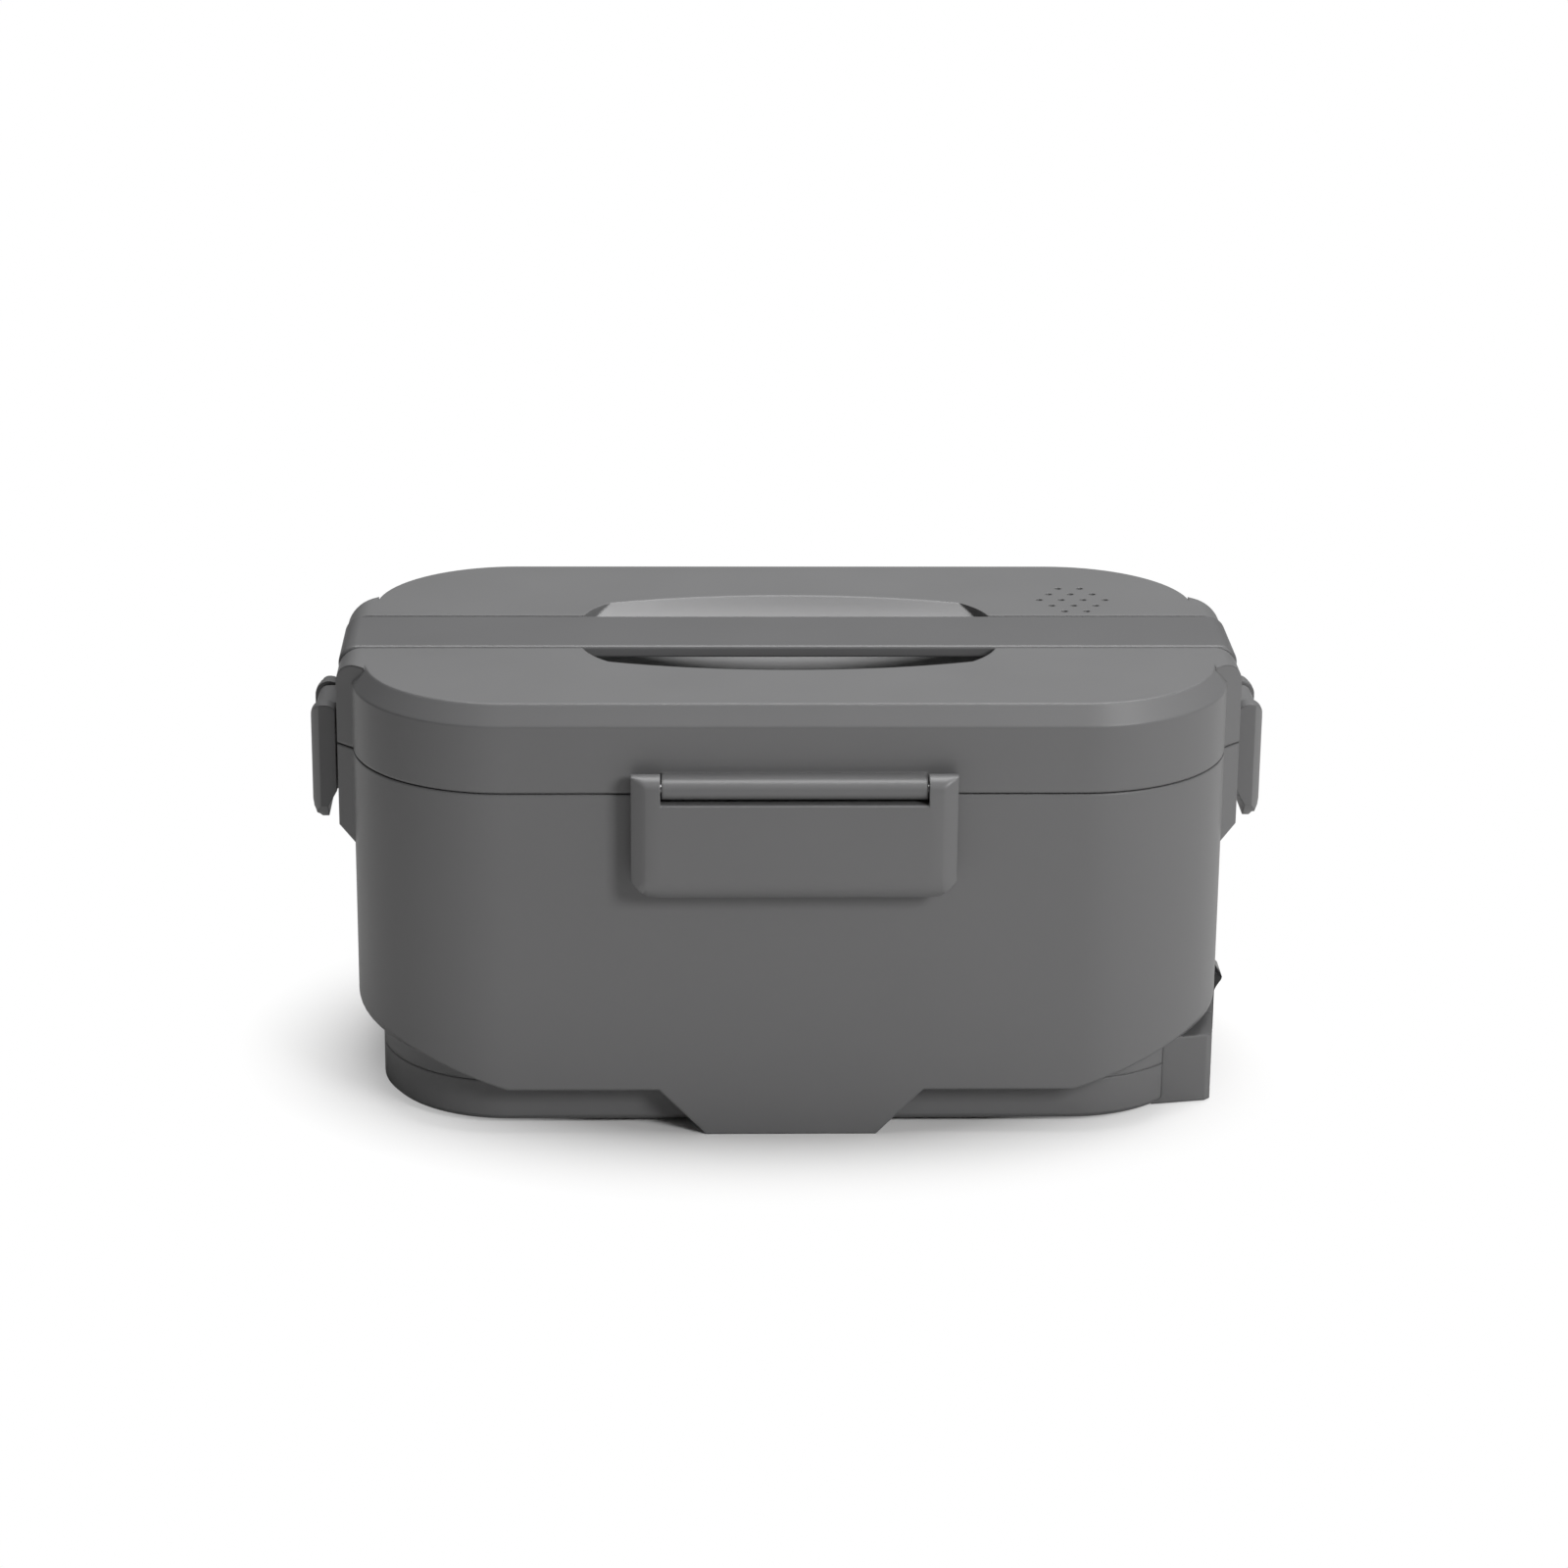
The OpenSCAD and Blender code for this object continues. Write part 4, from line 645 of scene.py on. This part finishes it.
class LUNCHBOX_OT_rocker(bpy.types.Operator):
    """Model the switch's rocker with its hollowed faces and its ON and OFF marks"""

    bl_idname = "lunchbox.rocker"
    bl_label = "Rocker"

    # Millimetres from the rocker's axis: its swing, its face, and the ends of the face's halves
    SWING, FACE, LOW_END, HIGH_END = 7.4, 3.4, 6.5, 4.5
    # Distance of the axis from the rocker's back, half its width, and the round of its sides
    BACK, HALF_WIDTH, EDGE = 3.0, 5.6, 0.5
    # Tilt of the upper half of the face, as out over up, and how far each half is hollowed
    TILT, HOLLOW = np.tan(radians(24.0)), 0.35

    def execute(self, context):
        colours, _, _ = settings()
        bottom, top = low("switch_rocker"), high("switch_rocker")
        pivot = np.array([bottom[0] + self.BACK, (bottom[1] + top[1]) / 2, bottom[2] + self.SWING])
        fall = np.linspace(-self.LOW_END, 0, 9)
        face_low = np.column_stack([self.face(fall), fall])
        rise = np.linspace(0, self.HIGH_END, 9)
        face_high = np.column_stack([self.face(rise), rise])
        nose = np.array([[5.48, 4.82], [5.2, 5.15], [4.6, 5.7]])
        back = arc((0, 0), self.SWING - 0.05, 54, 110, 8)
        tail = arc((0, 0), self.SWING - 0.05, 250, 297, 8)
        outline = np.concatenate([tail, face_low, face_high[1:], nose, back])
        half, edge = self.HALF_WIDTH, self.EDGE
        across = (-half, -half + 0.12, -half + edge, half - edge, half - 0.12, half)
        inset = (edge, 0.2, 0, 0, 0.2, edge)
        middle = outline.mean(axis=0)
        direction = outline - middle
        direction /= np.linalg.norm(direction, axis=1)[:, None]
        rings = [np.column_stack([outline - direction * i, np.full(len(outline), a)])
                 for a, i in zip(across, inset)]
        world = np.array(rings)[..., [0, 2, 1]] + pivot
        plastic = moulded_plastic("rocker_plastic", colours.trim, 0.22, grain=0.8, depth=0.003,
                                  edge=0.3)
        key = surface("rocker_key", world, caps=True, sharp=40.0)
        dress(key, "switch_rocker", plastic)
        self.marks(pivot)
        return {"FINISHED"}

    def face(self, up):
        """How far out the hollowed face stands, at heights above or below the axis."""
        share = np.where(up > 0, up / self.HIGH_END, -up / self.LOW_END)
        return self.FACE + np.maximum(up, 0) * self.TILT - self.HOLLOW * np.sin(pi * share)

    def marks(self, pivot):
        """A bar on the upper half and a ring on the lower half, as thin white inlays."""
        white = Finish("mark_white", (0.8, 0.8, 0.78), roughness=0.4)
        white.feed("Roughness", 0.35 + white.noise(white.place(), 1.0) * 0.1)
        turn = np.linspace(0, 2 * pi, 32, endpoint=False)
        rows = []
        for radius, lift in ((1.75, -0.06), (1.7, 0.06), (1.35, 0.06), (1.3, -0.06), (1.75, -0.06)):
            up = -3.2 + radius * np.sin(turn)
            rows.append(np.column_stack([self.face(up) + lift, radius * np.cos(turn), up]))
        circle = surface("mark_off", np.array(rows) + pivot)
        along = np.linspace(1.1, 3.5, 9)
        side = np.concatenate([np.full(9, -0.25), np.full(9, 0.25)])
        up = np.concatenate([along, along[::-1]])
        bar = np.array([np.column_stack([self.face(up) + lift, side, up]) for lift in (-0.3, 0.06)])
        stroke = surface("mark_on", bar + pivot, caps=True)
        for piece in (circle, stroke):
            piece.data.materials.append(white.material)
            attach(piece, "rocker")


# ---------------------------------------------------------------- stage


def area_light(name, power, size, spot, aim):
    """A square lamp at a spot, turned towards a point, both in metres."""
    lamp = bpy.data.lights.new(name, "AREA")
    lamp.energy = power
    lamp.size = size
    holder = bpy.data.objects.new(name, lamp)
    bpy.context.scene.collection.objects.link(holder)
    turn = (Vector(aim) - Vector(spot)).to_track_quat("-Z", "Y")
    holder.matrix_world = Matrix.Translation(spot) @ turn.to_matrix().to_4x4()


class LUNCHBOX_OT_stage(bpy.types.Operator):
    """Set the floor, the lamps, the surrounding light and the camera"""

    bl_idname = "lunchbox.stage"
    bl_label = "Stage"

    # Each lamp's setting, its side, its place and the point that it faces, in metres
    LAMPS = (("overhead", 0.9, (0.12, 0.25, 1.15), (0, 0, 0.05)),
             ("key", 0.45, (0.80, -1.05, 0.80), (0, 0, 0.06)),
             ("side", 0.6, (1.0, -0.35, 0.7), (0, 0, 0.06)))
    # Reach of the floor in millimetres, and where it starts to fade to white and over what
    # distance, in metres
    FLOOR_REACH, FADE_START, FADE_WIDTH = 6000.0, 0.085, 0.055
    # The picture's side and the camera's focal length, in pixels, and the sensor's side, in
    # millimetres
    PICTURE, FOCAL, SENSOR = 1600, 4397.5, 36.0

    def execute(self, context):
        _, _, studio = settings()
        scene = context.scene
        scene.view_settings.view_transform = "Standard"
        self.floor(studio)
        self.surround(scene, studio)
        for name, size, spot, aim in self.LAMPS:
            area_light(f"{name}_lamp", getattr(studio, name), size, spot, aim)
        self.camera(scene)
        return {"FINISHED"}

    def floor(self, studio):
        """A wide floor that fades to plain white away from the box."""
        reach = self.FLOOR_REACH
        grid = np.array([[[-reach, -reach, 0], [reach, -reach, 0]],
                         [[-reach, reach, 0], [reach, reach, 0]]])
        plane = surface("studio_floor", grid, closed_rings=False)
        if plane.data.polygons[0].normal.z < 0:
            plane.data.flip_normals()
        finish = Finish("floor_paper", studio.floor, roughness=0.9)
        finish.feed("Specular IOR Level", 0.0)
        place = finish.place()
        paper = finish.noise(place, 3.0, 3.0)
        finish.feed("Roughness", 0.85 + paper * 0.1)
        oval = finish.place((1, 1.35, 1))
        distance = finish.node("ShaderNodeVectorMath", {"operation": "LENGTH"}, {0: oval}, output=1)
        far = ((distance - self.FADE_START) / self.FADE_WIDTH).clamped()
        camera_ray = finish.node("ShaderNodeLightPath", output=0)
        finish.feed("Base Color", finish.tint(camera_ray, 0.65, 1.0))
        white = finish.node("ShaderNodeEmission", None, {"Color": (1, 1, 1, 1), "Strength": 1.0})
        output = finish.tree.nodes["Material Output"]
        mixed = finish.node("ShaderNodeMixShader", None, {
            0: far * camera_ray, 1: Value(finish, finish.shader.outputs[0]), 2: white})
        finish.connect(mixed, output.inputs["Surface"])
        plane.data.materials.append(finish.material)

    def surround(self, scene, studio):
        """Plain light from all round; the camera and glass see white."""
        scene.world = bpy.data.worlds.new("studio_surround")
        scene.world.use_nodes = True
        tree = scene.world.node_tree
        light = tree.nodes["Background"]
        light.inputs["Color"].default_value = (1, 1, 1, 1)
        light.inputs["Strength"].default_value = studio.surround
        white = tree.nodes.new("ShaderNodeBackground")
        white.inputs["Strength"].default_value = 1.0
        path = tree.nodes.new("ShaderNodeLightPath")
        either = tree.nodes.new("ShaderNodeMath")
        either.operation = "MAXIMUM"
        tree.links.new(path.outputs["Is Camera Ray"], either.inputs[0])
        tree.links.new(path.outputs["Is Transmission Ray"], either.inputs[1])
        mix = tree.nodes.new("ShaderNodeMixShader")
        tree.links.new(either.outputs[0], mix.inputs[0])
        tree.links.new(light.outputs[0], mix.inputs[1])
        tree.links.new(white.outputs[0], mix.inputs[2])
        tree.links.new(mix.outputs[0], tree.nodes["World Output"].inputs["Surface"])

    def camera(self, scene):
        """Camera a metre away, a little above, nearly square to the front and slightly rolled."""
        distance = 1.0877
        elevation, azimuth, roll = radians(19.178), radians(-1.708), radians(0.5007)
        target = Vector((-0.0006, 0, 0.06927))
        back = Vector((sin(azimuth) * cos(elevation), -cos(azimuth) * cos(elevation),
                       sin(elevation)))
        right = Vector((cos(azimuth), sin(azimuth), 0))
        up = back.cross(right)
        turned_right = cos(roll) * right + sin(roll) * up
        turned_up = -sin(roll) * right + cos(roll) * up
        lens = bpy.data.cameras.new("front_view")
        lens.sensor_width = self.SENSOR
        lens.lens = self.SENSOR * self.FOCAL / self.PICTURE
        lens.clip_end = 30.0
        eye = bpy.data.objects.new("front_view", lens)
        eye.matrix_world = Matrix((
            (turned_right.x, turned_up.x, back.x, target.x + distance * back.x),
            (turned_right.y, turned_up.y, back.y, target.y + distance * back.y),
            (turned_right.z, turned_up.z, back.z, target.z + distance * back.z), (0, 0, 0, 1)))
        scene.collection.objects.link(eye)
        scene.camera = eye


# ---------------------------------------------------------------- panel and run

OPERATORS = (LUNCHBOX_OT_shells, LUNCHBOX_OT_workings, LUNCHBOX_OT_handle, LUNCHBOX_OT_latches,
             LUNCHBOX_OT_container, LUNCHBOX_OT_seal, LUNCHBOX_OT_rocker, LUNCHBOX_OT_stage)


class LUNCHBOX_PT_panel(bpy.types.Panel):
    """Sidebar panel of the lunch box"""

    bl_idname = "LUNCHBOX_PT_panel"
    bl_label = "Lunch Box"
    bl_space_type = "VIEW_3D"
    bl_region_type = "UI"
    bl_category = "Lunch Box"

    def draw(self, context):
        for group in settings():
            for name in group.__annotations__:
                self.layout.prop(group, name)
        for operator in OPERATORS:
            self.layout.operator(operator.bl_idname)


CLASSES = (LunchBoxColours, LunchBoxSizes, LunchBoxStudio) + OPERATORS + (LUNCHBOX_PT_panel,)


def register():
    for each in CLASSES:
        bpy.utils.register_class(each)
    bpy.types.Scene.lunch_box_colours = PointerProperty(type=LunchBoxColours)
    bpy.types.Scene.lunch_box_sizes = PointerProperty(type=LunchBoxSizes)
    bpy.types.Scene.lunch_box_studio = PointerProperty(type=LunchBoxStudio)


def unregister():
    for name in ("lunch_box_studio", "lunch_box_sizes", "lunch_box_colours"):
        delattr(bpy.types.Scene, name)
    for each in reversed(CLASSES):
        bpy.utils.unregister_class(each)


def main():
    """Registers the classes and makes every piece."""
    register()
    for name in ("Cube", "Camera", "Light"):
        if name in bpy.data.objects:
            bpy.data.objects.remove(bpy.data.objects[name])
    for operator in OPERATORS:
        group, name = operator.bl_idname.split(".")
        getattr(getattr(bpy.ops, group), name)()


if __name__ == "__main__":
    main()
